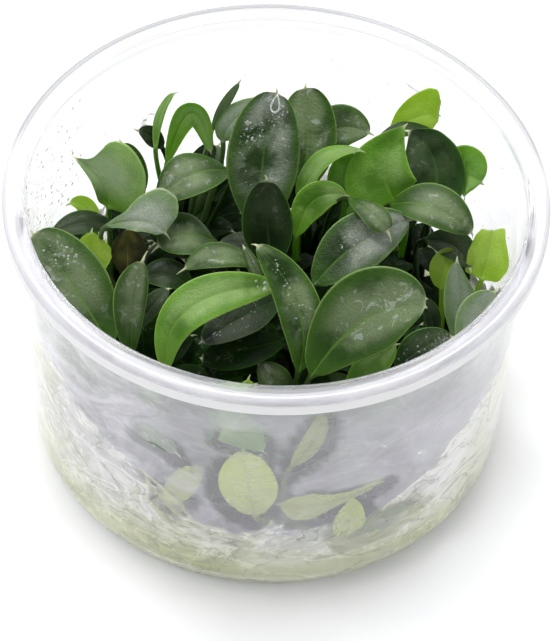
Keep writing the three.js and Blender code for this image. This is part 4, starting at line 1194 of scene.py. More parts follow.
def spread_points(spec, start):
    """Points up the stalk, then over the blade, that show how near another leaf comes."""
    base, mid, tip = (np.array(spec[key], float) for key in ("base", "mid", "tip"))
    centre, tangent = bezier([base, 2 * mid - (base + tip) / 2, tip], SPREAD_ALONG)
    facing = face_direction(spec["heading"], spec["rise"])
    normal = np.array([square(facing, t) for t in tangent])
    across = np.cross(tangent, normal)
    fold = math.radians(spec.get("fold", BLADE_FOLD))
    reach = half_widths(spec, SPREAD_ALONG, STALK_RADIUS_TOP)
    reach[-1] = TIP_HALF_WIDTH
    v = SPREAD_ACROSS
    aside = reach[:, None] * v * (1 + spec.get("uneven", 0.0) * np.sign(v)) * math.cos(fold)
    raised = reach[:, None] * np.abs(v) * math.sin(fold)
    blade = centre[:, None] + across[:, None] * aside[..., None] + normal[:, None] * raised[..., None]
    distance = np.linalg.norm(base - start)
    path = [start, start + UP * distance * STALK_LIFT, base - tangent[0] * distance * STALK_ARRIVAL, base]
    stalk, _ = bezier(path, SPREAD_STALK)
    return np.concatenate([stalk, blade.reshape(-1, 3)])


def tree_of(points):
    """A search tree of points."""
    tree = KDTree(len(points))
    for i, point in enumerate(points):
        tree.insert(point, i)
    tree.balance()
    return tree


def is_clear(points, others, clear):
    """Whether no point comes too near the nearest one of a search tree."""
    return all(others.find(point)[2] > clear for point in points)


print("low leaves tried on each shoot until", UNDER_COUNT, "fit, at most", UNDER_TRIES)

# %% Grow the undergrowth
grown = tree_of(np.concatenate([
    spread_points(spec, grown_start(shoot, angle))
    for shoot in SHOOTS for angle, spec in zip(stalk_angles(shoot), shoot["leaves"])]))
taken = [
    spread_points(spec, young_start(shoot, spec))[STALK_FEET:]
    for shoot in SHOOTS for spec in shoot["young"]]


def grow(kind, make, draw, count, tries, clear, skipped):
    """Tries leaves on each shoot and keeps those that stay inside the cup and clear of the others."""
    young = tree_of(np.concatenate(taken))
    for shoot in SHOOTS:
        shoot[kind] = []
        for _ in range(tries):
            if len(shoot[kind]) == count:
                break
            spec = make(shoot, draw)
            points = spread_points(spec, young_start(shoot, spec))[skipped:]
            upper = points[STALK_FEET - skipped:]
            inside = np.hypot(points[:, 0], points[:, 1]).max() < UNDER_REACH
            if inside and is_clear(points, grown, clear) and is_clear(upper, young, clear):
                shoot[kind].append(spec)
                taken.append(upper)
                young = tree_of(np.concatenate(taken))


grow("under", under_leaf, draw_from(UNDER_SEED), UNDER_COUNT, UNDER_TRIES, UNDER_CLEAR, 0)
print("small leaves under the others:", [len(shoot["under"]) for shoot in SHOOTS])

# %% [markdown]
# Close to the jelly the stems carry the smallest leaves, in the dark between the stalks. They are
# too many and too small for the plain model, so they are made here alone. Each lies nearly flat, and
# it stays clear of all other leaves. The first points of its stalk aren't tested, because all the
# stalks crowd together there.

# %% Thicket near the jelly
THICKET_COUNT = 18
THICKET_TRIES = 420
THICKET_LEAN = (50, 92)
THICKET_OUT = (2, 9)
THICKET_HEIGHT = (13, 31)
THICKET_LENGTH = (7, 12)
THICKET_ARCH = (0.4, 1.4)
THICKET_WIDTH = (4.5, 7.5)
THICKET_CLEAR = 1.1


def thicket_leaf(shoot, draw):
    """One of the smallest leaves, nearly flat and close to its stem."""
    turn, lean = draw(0, math.tau), math.radians(draw(*THICKET_LEAN))
    out = np.array([math.cos(turn), math.sin(turn), 0.0])
    base = np.array([*shoot["at"], draw(*THICKET_HEIGHT)]) + out * draw(*THICKET_OUT)
    tip, facing = leaning(base, out, lean, draw(*THICKET_LENGTH))
    mid = (base + tip) / 2 + facing * draw(*THICKET_ARCH)
    # Every one takes the low look, a darker copy of the leaf colours: painted shade.
    return leaf("thicket", "low", base, mid, tip, draw(*THICKET_WIDTH), *heading_and_rise(facing))


grow("thicket", thicket_leaf, np.random.default_rng(5).uniform, THICKET_COUNT, THICKET_TRIES,
     THICKET_CLEAR, STALK_FEET)
print("smallest leaves:", [len(shoot["thicket"]) for shoot in SHOOTS])

# %% Make the shoots with their young and low leaves
TONES = ["stem"] + list(LEAF_LOOKS)
LOW_KINDS = {
    "under": {"rings": (18, 8), "shades": (0.6, 1.0)},
    "thicket": {"rings": (12, 6), "shades": (0.5, 1.0)},
}
random_low = np.random.default_rng(21)
for shoot in SHOOTS:
    parts = [(*stem_rings(shoot), 0, 1.0, 0.0)]
    for spec in shoot["young"]:
        parts.append((
            *leaf_rings(spec, young_start(shoot, spec), random_leaf),
            TONES.index(spec.get("look", spec["tone"])), spec.get("shade", 1.0),
            random_leaf.uniform(0, 1)))
    for kind, detail in LOW_KINDS.items():
        for spec in shoot[kind]:
            # A dark low leaf takes the low look, a darker copy of the leaf colours: painted shade deep in
            # the crowd.
            tone = "low" if spec["tone"] == "dark" else spec["tone"]
            parts.append((
                *leaf_rings(spec, young_start(shoot, spec), random_low, *detail["rings"]),
                TONES.index(tone), random_low.uniform(*detail["shades"]), random_low.uniform(0, 1)))
    piece = add_object(shoot["name"] + "_stem", blade_mesh(shoot["name"], parts),
                       [STEM_LOOK] + [LEAF_LOOKS[tone] for tone in TONES[1:]])
    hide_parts(shoot["name"])
    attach(piece, "root")
print("shoots made:", len(SHOOTS))

# %% [markdown]
# White and green roots run along the wall and down to the foot, because they grow outwards until they
# meet the plastic. Each is a thin tube swept along a path that wanders on the wall. Those that the
# photograph shows have paths of their own, and the others are drawn at random all around.

# %% Sizes of the cup
CUP_HEIGHT = 62.5
RIM_RADIUS = 50.0
RIM_BAND = 3.6
RIM_EDGE = 0.5
RIM_BEAD = 1.15
RIM_GROOVE_RADIUS = 48.4
RIM_GROOVE = 0.4
LIP_RADIUS = 45.9
LIP_DEPTH = 4.5
WALL_RADIUS_TOP = 47.4
WALL_RADIUS_FOOT = 46.6
WALL = 1.0
FOOT_FILLET = 4.6
FLOOR = 1.2
CUP_SIDES = 240
print("cup", 2 * RIM_RADIUS, "mm wide and", CUP_HEIGHT, "mm high")

# %% Roots along the wall
ROOT_RADIUS = (0.18, 0.4)
ROOT_SIDES = 7
ROOT_STEPS = 26
ROOT_COUNT = 40
ROOT_ENDS = (0.6, 0.5)
ROOT_GAP = 0.75
ROOT_HEIGHTS = (2.5, 18)
ROOT_STARTS = (5, 17)
ROOT_CLIMB = (-3.6, 2.4)
ROOT_SPAN = (0.15, 0.8)
ROOT_BENDS = 5
FOOT_CREEP = 0.8
ROOT_PATHS = [
    [(-22.4, 28.5), (-17.7, 25.5), (-14, 21.5), (-11.2, 15.5), (-9, 11)],
    [(-21, 26), (-16, 20), (-11, 15), (-4.5, 12), (2, 12.5)],
    [(-27, 22), (-20, 19), (-15, 13), (-8, 9)],
    [(-14, 18.5), (-10.2, 18), (-6, 17.8)],
    [(-4, 14), (-1, 16), (3, 16.2), (7, 14.2)],
    [(2, 22), (1, 19.5), (-1, 17.5)],
    [(10, 14.5), (15.9, 11.4), (20, 6)],
    [(11, 14), (11.3, 10.5), (11.8, 6)],
    [(8.5, 13), (8.3, 9.5), (7.6, 5.5)],
    [(14, 15), (14.6, 11), (14.2, 5)],
    [(16, 12.5), (22, 12.8), (28, 10)],
    [(-31, 12), (-25, 8), (-18, 8.5), (-11, 5), (-3, 6)],
    [(-33, 9), (-27, 6), (-20, 4.8), (-12, 6.5)],
    [(24, 14), (29, 12), (33, 13), (37, 17)],
]


def inner_radius(height):
    """Radius of the cup's inner wall at a height."""
    t = (height - FOOT_FILLET) / (CUP_HEIGHT - RIM_BAND - FOOT_FILLET)
    return WALL_RADIUS_FOOT + (WALL_RADIUS_TOP - WALL_RADIUS_FOOT) * t - WALL


def curved(points, steps):
    """A smooth line through a few points, by the Catmull-Rom rule."""
    points = np.array(points, float)
    padded = np.concatenate([[2 * points[0] - points[1]], points, [2 * points[-1] - points[-2]]])
    places = np.linspace(0, len(points) - 1, steps)
    spans = np.minimum(places.astype(int), len(points) - 2)
    t = (places - spans)[:, None]
    a, b, c, d = (padded[spans + k] for k in range(4))
    return 0.5 * (2 * b + (c - a) * t + (2 * a - 5 * b + 4 * c - d) * t ** 2
                  + (3 * b - a - 3 * c + d) * t ** 3)


def tube(path, radii, sides, closed=False):
    """Points and faces of a round tube along a path, with flat ends or closed in a loop."""
    count = len(path)
    ahead = np.roll(path, -1, axis=0) - np.roll(path, 1, axis=0)
    if not closed:
        ahead[0], ahead[-1] = path[1] - path[0], path[-1] - path[-2]
    rings = np.zeros((count, sides, 3))
    turn = np.linspace(0, math.tau, sides, endpoint=False)
    carried = NO_AXIS
    for i, tangent in enumerate(ahead / np.linalg.norm(ahead, axis=1)[:, None]):
        carried = square(carried, tangent)
        rings[i] = path[i] + radii[i] * (
            np.outer(np.cos(turn), carried) + np.outer(np.sin(turn), np.cross(tangent, carried)))
    return rings.reshape(-1, 3), ring_faces(count, sides, looped=closed)


def joined(name, pieces):
    """One mesh of many small pieces, each a (points, faces)."""
    verts, faces, total = [], [], 0
    for points, own_faces in pieces:
        verts.append(points)
        faces.extend(tuple(total + i for i in face) for face in own_faces)
        total += len(points)
    return mesh_from(name, np.concatenate(verts), faces)


def on_wall(turn, height, gap):
    """A point that stands off the inner wall by a gap, and more where the foot of the wall rounds."""
    radius = inner_radius(height) - gap
    radius -= FOOT_FILLET * (1 - smooth(0.8, FOOT_FILLET, height)) * FOOT_CREEP
    return np.stack([radius * np.cos(turn), radius * np.sin(turn), height], axis=-1)


random_root = np.random.default_rng(3)
root_pieces = []
for plan in ROOT_PATHS:
    line = curved(plan, ROOT_STEPS)
    height = line[:, 1].clip(ROOT_HEIGHTS[0])
    turn = -np.arccos((line[:, 0] / (inner_radius(height) - ROOT_GAP)).clip(-1, 1))
    radius = random_root.uniform(*ROOT_RADIUS) * np.linspace(1, ROOT_ENDS[0], ROOT_STEPS)
    root_pieces.append(tube(on_wall(turn, height, ROOT_GAP), radius, ROOT_SIDES))
for _ in range(ROOT_COUNT):
    start_turn, span = random_root.uniform(0, math.tau), random_root.uniform(*ROOT_SPAN)
    way = random_root.choice((-1, 1))
    turns = start_turn + way * span * np.linspace(0, 1, ROOT_BENDS)
    heights = random_root.uniform(*ROOT_STARTS) + np.cumsum(random_root.uniform(*ROOT_CLIMB, ROOT_BENDS))
    line = curved(np.stack([turns, heights.clip(*ROOT_HEIGHTS)], axis=1), ROOT_STEPS)
    radius = random_root.uniform(*ROOT_RADIUS) * np.linspace(1, ROOT_ENDS[1], ROOT_STEPS)
    gap = ROOT_GAP + random_root.uniform(0, 0.6)
    height = line[:, 1].clip(ROOT_HEIGHTS[0])
    root_pieces.append(tube(on_wall(line[:, 0], height, gap), radius, ROOT_SIDES))
ROOT_LOOK = tissue_material("root", scale=160.0, detail=3.0, dark=(0.42, 0.48, 0.06),
                            pale=(0.68, 0.7, 0.3), low=0.38, high=0.62, roughness=0.45, relief=0.3)
roots = add_object("roots", joined("roots", root_pieces), [ROOT_LOOK])
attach(roots, "root")
print("roots:", len(root_pieces), "faces:", len(roots.data.polygons))

# %% [markdown]
# The cup is pressed from thin clear plastic. Its rim is a flat band with a fine groove on top, its
# wall leans in a little and its foot is rounded. A turned profile gives it, as in the plain model, but
# with many more sides and rounded edges. It has three materials: clear plastic outside, the misted
# inner wall, and the rim.

# %% Cup profile
WALL_STEP = 1.2
WALL_BEND = 24
BAND_LEDGE = 0.4
BAND_CORNER = 0.5
GROOVE_SIDE = 0.8
LIP_DRAFT = 0.05


def arc(radius, height, size, start, end, steps):
    """Points of an arc in the profile, angles in degrees from the radius direction."""
    angles = np.radians(np.linspace(start, end, steps + 1))
    return [(radius + size * math.cos(a), height + size * math.sin(a)) for a in angles]


def turned_mesh(name, profile, sides, slot_of=lambda low, high, index: 0):
    """A solid of revolution from a profile that starts and ends on the axis."""
    angles = np.linspace(0, math.tau, sides, endpoint=False)
    verts = [(0, 0, profile[0][1])]
    for radius, height in profile[1:-1]:
        verts.extend((radius * math.cos(a), radius * math.sin(a), height) for a in angles)
    verts.append((0, 0, profile[-1][1]))
    faces, slots = [], []
    rings = len(profile) - 2
    for i in range(sides):
        j = (i + 1) % sides
        faces.append((0, 1 + j, 1 + i))
        slots.append(slot_of(profile[0], profile[1], 0))
        for r in range(rings - 1):
            a = 1 + r * sides
            faces.append((a + i, a + j, a + sides + j, a + sides + i))
            slots.append(slot_of(profile[r + 1], profile[r + 2], r + 1))
        a = 1 + (rings - 1) * sides
        faces.append((a + i, a + j, len(verts) - 1))
        slots.append(slot_of(profile[-2], profile[-1], rings))
    mesh = mesh_from(name, verts, faces)
    mesh.polygons.foreach_set("material_index", slots)
    mesh.update()
    return mesh


band_foot = CUP_HEIGHT - RIM_BAND
foot_radius = WALL_RADIUS_FOOT - FOOT_FILLET
inner_fillet = FOOT_FILLET - WALL
outside = [
    (0, 0),
    (foot_radius * 0.5, 0),
    *arc(foot_radius, FOOT_FILLET, FOOT_FILLET, -90, 0, 10),
    (WALL_RADIUS_TOP - BAND_LEDGE, band_foot - WALL_BEND),
    (WALL_RADIUS_TOP, band_foot - BAND_LEDGE),
    (WALL_RADIUS_TOP + BAND_LEDGE, band_foot),
    (RIM_RADIUS - BAND_CORNER, band_foot),
    *arc(RIM_RADIUS - RIM_EDGE, band_foot + RIM_EDGE, RIM_EDGE, -80, 0, 4),
    *arc(RIM_RADIUS - RIM_BEAD, CUP_HEIGHT - RIM_BEAD, RIM_BEAD, 0, 90, 8),
    (RIM_GROOVE_RADIUS + RIM_GROOVE, CUP_HEIGHT),
    (RIM_GROOVE_RADIUS + RIM_GROOVE * 0.5, CUP_HEIGHT - RIM_GROOVE * GROOVE_SIDE),
    (RIM_GROOVE_RADIUS, CUP_HEIGHT - RIM_GROOVE),
    (RIM_GROOVE_RADIUS - RIM_GROOVE * 0.5, CUP_HEIGHT - RIM_GROOVE * GROOVE_SIDE),
    (RIM_GROOVE_RADIUS - RIM_GROOVE, CUP_HEIGHT),
    *arc(LIP_RADIUS + RIM_EDGE, CUP_HEIGHT - RIM_EDGE, RIM_EDGE, 90, 180, 5),
    (LIP_RADIUS + LIP_DRAFT, CUP_HEIGHT - LIP_DEPTH * 0.6),
]
inside = [
    (inner_radius(CUP_HEIGHT - LIP_DEPTH), CUP_HEIGHT - LIP_DEPTH),
    *[(inner_radius(h), h)
      for h in np.arange(CUP_HEIGHT - LIP_DEPTH - WALL_STEP, FOOT_FILLET, -WALL_STEP)],
    *arc(foot_radius, FLOOR + inner_fillet, inner_fillet, 0, -90, 8),
    (foot_radius * 0.5, FLOOR),
    (0, FLOOR),
]
print("points of the cup's profile:", len(outside) + len(inside))

# %% [markdown]
# The plastic is clear, so its shader is a plain transmission with an index just under 1.5, like many
# clear plastics. It bends the light, which gives the wall its bright and dark lines. Lamps would cast
# a black shadow through such a shader, because its refracted light is hard to sample. The usual cure
# is to let shadow rays and soft bounced light pass straight through. The folded rim is thin and lets
# light through nearly straight, so it has a low index. A share of plain white on it is a painted
# reflection of the light that its folds throw back: weak on the inner bevel, more on the top and
# strongest on the outer band that faces the viewer. The inner bevel has a painted shade in its tint,
# and the outer edge of the top a painted dark line. Its parts are found by how far they are from the
# axis, in metres.

# %% Clear plastic and rim
PLASTIC_INDEX = 1.46
RIM_INDEX = 1.12
BEVEL, RIM_TOP, TOP_EDGE, OUTER_BAND = (
    (0.0464, 0.0474), (0.0466, 0.0477), (0.0487, 0.0492), (0.0494, 0.0498))
BAND_HEIGHT = (0.0617, 0.0613)
PASSED = (0.93, 0.935, 0.94)
# The inside tint is painted shade on the inner bevel; the white shares and whites are painted reflection,
# and the grey of the top's outer edge is a painted dark line.
RIM_INSIDE_SHADED, RIM_OUTSIDE = (0.84, 0.845, 0.86), (0.97, 0.972, 0.985)
RIM_TOP_REFLECTION_SHARE = (0.03, 0.52)
BAND_REFLECTION_SHARE = 0.96
TOP_REFLECTION_WHITE, EDGE_PAINTED_SHADE, BAND_REFLECTION_WHITE = (0.8, 0.8, 0.84), (0.5, 0.5, 0.53), (0.97, 0.97, 0.975)


def clear_material(name, index):
    """A new material whose Principled shader is clear."""
    material, tree, shader, output = new_material(name)
    set_inputs(tree, shader, {"Transmission Weight": 1.0, "IOR": index})
    return material, tree, shader, output


def pass_through(tree, surface, output):
    """Mixes a shader with a clear film for shadow rays and bounced light."""
    path = add_node(tree, "ShaderNodeLightPath")
    free = math_node(tree, "MAXIMUM", path.outputs["Is Shadow Ray"], path.outputs["Is Diffuse Ray"])
    film = add_node(tree, "ShaderNodeBsdfTransparent", {"Color": PASSED})
    set_inputs(tree, output, {"Surface": mix_shaders(tree, free, surface, film.outputs["BSDF"])})


def whitened(tree, shader, share, white):
    """A clear shader with a share of plain white."""
    dull = add_node(tree, "ShaderNodeBsdfDiffuse", {"Color": white})
    return mix_shaders(tree, share, shader.outputs["BSDF"], dull.outputs["BSDF"])


def clear_cup_material():
    """Clear plastic that lets shadow rays pass."""
    material, tree, shader, output = clear_material("cup clear", PLASTIC_INDEX)
    noise = noise_of(tree, 60.0)
    set_inputs(tree, shader, {
        "Base Color": (0.985, 0.987, 0.995),
        "Roughness": ramp_value(tree, noise, *MOTTLE, 0.02, 0.06),
        "Normal": bumped(tree, noise, 0.15, 0.0004),
    })
    pass_through(tree, shader.outputs["BSDF"], output)
    return material


def rim_material():
    """The rim: clear, with a share of white as painted reflection, weak on the inner bevel and strong on
    the outer band.
    """
    material, tree, shader, output = clear_material("cup rim", RIM_INDEX)
    place, parts = place_parts(tree)
    far = from_axis(tree, place)
    noise = noise_of(tree, 40.0, 3.0, place)
    set_inputs(tree, shader, {
        # The inner bevel's darker tint is painted shade.
        "Base Color": mix_color(tree, ramp_value(tree, far, *BEVEL), RIM_INSIDE_SHADED, RIM_OUTSIDE),
        "Roughness": ramp_value(tree, noise, *MOTTLE, 0.1, 0.2),
        "Coat Weight": 0.8,
        "Coat Roughness": 0.12,
    })
    # Painted reflection: a share of plain white over the top and the outer band, with a painted dark line
    # at the outer edge of the top.
    top = ramp_value(tree, far, *RIM_TOP, *RIM_TOP_REFLECTION_SHARE)
    edge = ramp_value(tree, far, *TOP_EDGE)
    band = math_node(tree, "MULTIPLY", ramp_value(tree, far, *OUTER_BAND),
                     ramp_value(tree, parts["Z"], *BAND_HEIGHT))
    share = math_node(tree, "MAXIMUM", top, math_node(tree, "MULTIPLY", band, BAND_REFLECTION_SHARE))
    share = math_node(tree, "MULTIPLY", share, ramp_value(tree, noise, *MOTTLE, 0.92, 1.05))
    white = mix_color(tree, band, mix_color(tree, edge, TOP_REFLECTION_WHITE, EDGE_PAINTED_SHADE), BAND_REFLECTION_WHITE)
    pass_through(tree, whitened(tree, shader, share, white), output)
    return material


print("index of the plastic", PLASTIC_INDEX, "and of the thin rim", RIM_INDEX)

# %% [markdown]
# The inner wall is misted: a fine haze on the side towards the viewer, and a wet crumpled film round
# the foot, which climbs at the left and the right. The film is a share of plain white with creases,
# thin lines where a noise crosses its middle value, and darker slits made the same way. Where a leaf
# touches the wall the haze and the film clear, so two maps on the cup tell where each of them is. The
# noises are squeezed in height, because the film sags into flat wrinkles.

# %% Misted wall
MIST_MAP = "mist"
TOUCH_MAP = "touch"
HAZE_THIN, HAZE_THICK = 0.4, 0.66
HAZE_COLOR, HAZE_CREASE = (0.83, 0.82, 0.89), 0.07
HAZE_CLEARED, FILM_CLEARED = -0.5, -0.85
FILM_THIN, FILM_THICK = 0.42, 0.9
FILM_STARTS, FILM_FULL = 0.42, 0.56
FILM_CREASE, FILM_RIGHT, FILM_FOOT = 0.3, 0.3, 0.6
RAGGED_FINE, RAGGED_WIDE, RAGGED_SHIFT = 1.8, 1.7, -1.75
CREASE_WIDTH, SLIT_WIDTH, SLIT_SHARE = 0.03, 0.022, 0.6
WET_DULL, WET_WHITE = (0.82, 0.83, 0.68), (0.97, 0.97, 0.95)
WET_FOOT, SLIT_COLOR = (0.78, 0.8, 0.48), (0.36, 0.38, 0.3)
CRUMPLE_SPAN = (0.38, 0.62)
RIGHT_SIDE, LEFT_SIDE = (0.026, 0.036), (-0.012, -0.028)
FILM_THINS, FOOT_TINTS = (0.003, 0.013), (0.015, 0.005)
GRAIN = (0.4, 2.2)
SQUAT = (1.0, 1.0, 1.6)


def ridge_of(tree, noise, half_width):
    """A thin line wherever a noise crosses its middle value."""
    off = math_node(tree, "ABSOLUTE", math_node(tree, "SUBTRACT", noise, 0.5))
    return ramp_value(tree, off, half_width, half_width * 0.3)


def misted_cup_material():
    """The inner wall: a fine haze, a wet film low down, and clear spots where leaves touch it."""
    material, tree, shader, output = clear_material("cup misted", PLASTIC_INDEX)
    haze, film = map_parts(tree, MIST_MAP)
    touch, _ = map_parts(tree, TOUCH_MAP)
    place, parts = place_parts(tree)
    squat = add_node(tree, "ShaderNodeVectorMath", {
        0: place, 1: SQUAT}, operation="MULTIPLY").outputs[0]
    patches = noise_of(tree, 55.0, 5.0, place, roughness=0.6)
    crumple = noise_of(tree, 80.0, 8.0, squat, roughness=0.66, distortion=1.2)
    crease = ridge_of(tree, noise_of(tree, 62.0, 5.0, squat, distortion=1.6), CREASE_WIDTH)
    slit = ridge_of(tree, noise_of(tree, 48.0, 6.0, squat, distortion=2.4), SLIT_WIDTH)

    def product(first, second, clamp=False):
        return math_node(tree, "MULTIPLY", first, second, clamp=clamp)

    def total(first, second):
        return math_node(tree, "ADD", first, second)

    def cleared(share, by):
        return product(share, math_node(tree, "MULTIPLY_ADD", touch, by, 1.0))

    ragged = total(product(crumple, RAGGED_FINE),
                   math_node(tree, "MULTIPLY_ADD", patches, RAGGED_WIDE, RAGGED_SHIFT))
    film_mask = ramp_value(tree, total(film, ragged), FILM_STARTS, FILM_FULL)
    body = ramp_value(tree, crumple, *CRUMPLE_SPAN, FILM_THIN, FILM_THICK)
    body = total(body, product(crease, FILM_CREASE))
    body = total(body, ramp_value(tree, parts["X"], *RIGHT_SIDE, 0.0, FILM_RIGHT))
    body = product(body, ramp_value(tree, parts["Z"], *FILM_THINS, FILM_FOOT, 1.0))
    film_share = cleared(product(film_mask, body, clamp=True), FILM_CLEARED)
    grain = product(math_node(tree, "SUBTRACT", crumple, 0.5),
                    ramp_value(tree, parts["X"], *LEFT_SIDE, *GRAIN))
    haze_share = product(haze, total(grain, ramp_value(tree, patches, *MOTTLE, HAZE_THIN, HAZE_THICK)))
    haze_share = total(haze_share, product(product(crease, HAZE_CREASE), haze))
    share = math_node(
        tree, "MAXIMUM", cleared(haze_share, HAZE_CLEARED), film_share, clamp=True)

    wet = mix_color(tree, ramp_value(tree, patches, *SHARP_MOTTLE), WET_DULL, WET_WHITE)
    wet = mix_color(tree, ramp_value(tree, parts["Z"], *FOOT_TINTS, 0.0, 0.7), wet, WET_FOOT)
    wet = mix_color(tree, product(slit, SLIT_SHARE), wet, SLIT_COLOR)
    apart = math_node(tree, "SUBTRACT", 1.0, touch, clamp=True)
    rough = product(math_node(tree, "MULTIPLY_ADD", haze, 0.11, 0.03), apart)
    relief = product(crumple, math_node(tree, "MULTIPLY_ADD", film_mask, 3.0, 0.3))
    set_inputs(tree, shader, {
        "Base Color": (0.97, 0.975, 0.985),
        "Roughness": total(rough, 0.015),
        "Normal": bumped(tree, relief, 0.35, 0.0003),
    })
    white = mix_color(tree, film_mask, HAZE_COLOR, wet)
    pass_through(tree, whitened(tree, shader, share, white), output)
    return material


print("share of white in the haze", HAZE_THIN, "to", HAZE_THICK, "and in the film", FILM_THIN,
      "to", FILM_THICK)

# %% Make the cup
MIST_BACK = 0.12
MIST_FADES = (14, -20)
TOUCH_NEAR, TOUCH_FAR = 2.2, 2.9
FILM_EDGE_BACK = 19
FILM_EDGE_WAVES = ((3, 5, 1), (1.6, 11, 0))
FILM_EDGE_FADES = (18, -12)
FILM_EDGE_SOFT = 4.5
FILM_EDGE_X = (-46, -39, -33, -27, -22, -16, -10, 0, 12, 24, 31, 35, 41, 46)
FILM_EDGE_Z = (44, 40, 35, 31, 28, 24, 19, 18, 19, 22, 26, 31, 37, 42)


def cup_slot(low, high, index):
    """0 for the clear outer wall, 1 for the misted inner wall and 2 for the rim."""
    if index >= len(outside) - 1:
        return 1
    return 2 if min(low[1], high[1]) > band_foot - 1 else 0


def vertex_places(obj):
    """The points of an object's mesh in millimetres."""
    flat = np.zeros(len(obj.data.vertices) * 3, dtype=np.float32)
    obj.data.vertices.foreach_get("co", flat)
    return flat.reshape(-1, 3).astype(float) / MM


def paint_mist(obj, touching):
    """Gives the cup its two maps: haze and film, and how near a leaf comes."""
    points = vertex_places(obj)
    x, y, z = points.T
    haze = MIST_BACK + (1 - MIST_BACK) * smooth(*MIST_FADES, y)
    around = np.arctan2(y, x)
    back_edge = FILM_EDGE_BACK + sum(
        size * np.sin(count * around + start) for size, count, start in FILM_EDGE_WAVES)
    front_edge = np.interp(x, FILM_EDGE_X, FILM_EDGE_Z)
    edge = back_edge + (front_edge - back_edge) * smooth(*FILM_EDGE_FADES, y)
    film = smooth(FILM_EDGE_SOFT, -FILM_EDGE_SOFT, z - edge)
    near = tree_of(touching)
    touch = np.array([smooth(TOUCH_FAR, TOUCH_NEAR, near.find(point)[2]) for point in points])
    write_maps(obj.data, {
        MIST_MAP: np.stack([haze, film], axis=1), TOUCH_MAP: np.stack([touch, 0 * touch], axis=1)})


cup = add_object(
    "cup_shell",
    turned_mesh("cup_shell", outside + inside, CUP_SIDES, cup_slot),
    [clear_cup_material(), misted_cup_material(), rim_material()],
)
planted = np.concatenate([
    vertex_places(obj) for obj in bpy.data.objects
    if obj.type == "MESH" and obj.name.startswith(("leaf_wall", "shoot_wall"))])
planted = planted[np.hypot(planted[:, 0], planted[:, 1]) > inner_radius(0) - TOUCH_FAR - 1]
paint_mist(cup, planted)
print("leaf points near the wall:", len(planted))
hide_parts("cup")
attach(cup, "root")
print("cup faces:", len(cup.data.polygons))

# %% [markdown]
# Warm damp air leaves drops everywhere: fine ones on the cold wall, wet runs where they joined and
# slid down, and beads on the waxy leaves. Each is a low dome that stands on its surface. They could be
# a bump in the material, but real domes catch the lamps and bend the view from any side. A share of
# plain white in the water is a painted highlight: faint on the wall, stronger in the beads so that
# they show as bright specks.

# %% Drops on the wall
DROP_SIDES = 8
DROP_LEVELS = (0.0, 0.4, 0.75)
DROP_HEIGHT, BEAD_HEIGHT = 0.55, 0.7
SUNK = 0.02
WATER_INDEX = 1.33
RUN_STEPS = 18
RUN_GAP = 0.3
RUN_JITTER = 0.18
RUN_RADIUS, RUN_SWELL = 0.26, 0.16
WALL_DROPS = [
    (146, 186, 34, 57, 330, (0.12, 0.42)),
    (208, 250, 27, 50, 300, (0.12, 0.34)),
    (298, 345, 24, 50, 200, (0.1, 0.3)),
    (0, 360, 24, 57, 500, (0.08, 0.2)),
]
WALL_RUNS = [
    [(-34.5, 33), (-33.2, 29.5), (-31.5, 26), (-29.5, 23.5)],
    [(-33, 35), (-31.2, 31), (-30.4, 27.5)],
    [(-40, 29), (-38.6, 25), (-37.6, 21)],
    [(39.6, 34), (40.6, 29), (40.2, 24), (39.2, 20)],
    [(41.4, 32), (42.2, 27), (41.8, 23)],
    [(37.6, 31), (38.4, 27.5), (37.8, 24.5)],
    [(17, 45), (19, 42), (21.5, 40.5)],
]


def dome(place, normal, radius, height):
    """Points and faces of a drop: a closed low dome that stands on a surface."""
    side = square(NO_AXIS, normal)
    other = np.cross(normal, side)
    turn = np.linspace(0, math.tau, DROP_SIDES, endpoint=False)
    circle = np.outer(np.cos(turn), side) + np.outer(np.sin(turn), other)
    rings = [place + normal * height * math.sin(level * math.pi / 2)
             + circle * radius * math.cos(level * math.pi / 2) for level in DROP_LEVELS]
    points = np.concatenate(rings + [[place + normal * height]])
    faces = [tuple(reversed(range(DROP_SIDES)))]
    for k in range(len(DROP_LEVELS) - 1):
        for j in range(DROP_SIDES):
            a, b = k * DROP_SIDES + j, k * DROP_SIDES + (j + 1) % DROP_SIDES
            faces.append((a, b, b + DROP_SIDES, a + DROP_SIDES))
    last = (len(DROP_LEVELS) - 1) * DROP_SIDES
    faces.extend((last + j, last + (j + 1) % DROP_SIDES, len(points) - 1) for j in range(DROP_SIDES))
    return points, faces


def water_material(name, painted_highlight):
    """Clear water with the faintest unevenness, and a share of plain white as a painted highlight."""
    material, tree, shader, output = clear_material(name, WATER_INDEX)
    noise = noise_of(tree, 900.0)
    set_inputs(tree, shader, {
        "Base Color": (0.97, 0.985, 0.98), "Roughness": ramp_value(tree, noise, *MOTTLE, 0.01, 0.06)})
    # A share of plain white: painted highlight.
    share = ramp_value(tree, noise, *MOTTLE, painted_highlight * 0.6, painted_highlight)
    pass_through(tree, whitened(tree, shader, share, (0.95, 0.97, 0.96)), output)
    return material


def drop_radius(sizes):
    """A random radius between two sizes, with few large ones."""
    return sizes[0] + (sizes[1] - sizes[0]) * random_drop.uniform() ** 3


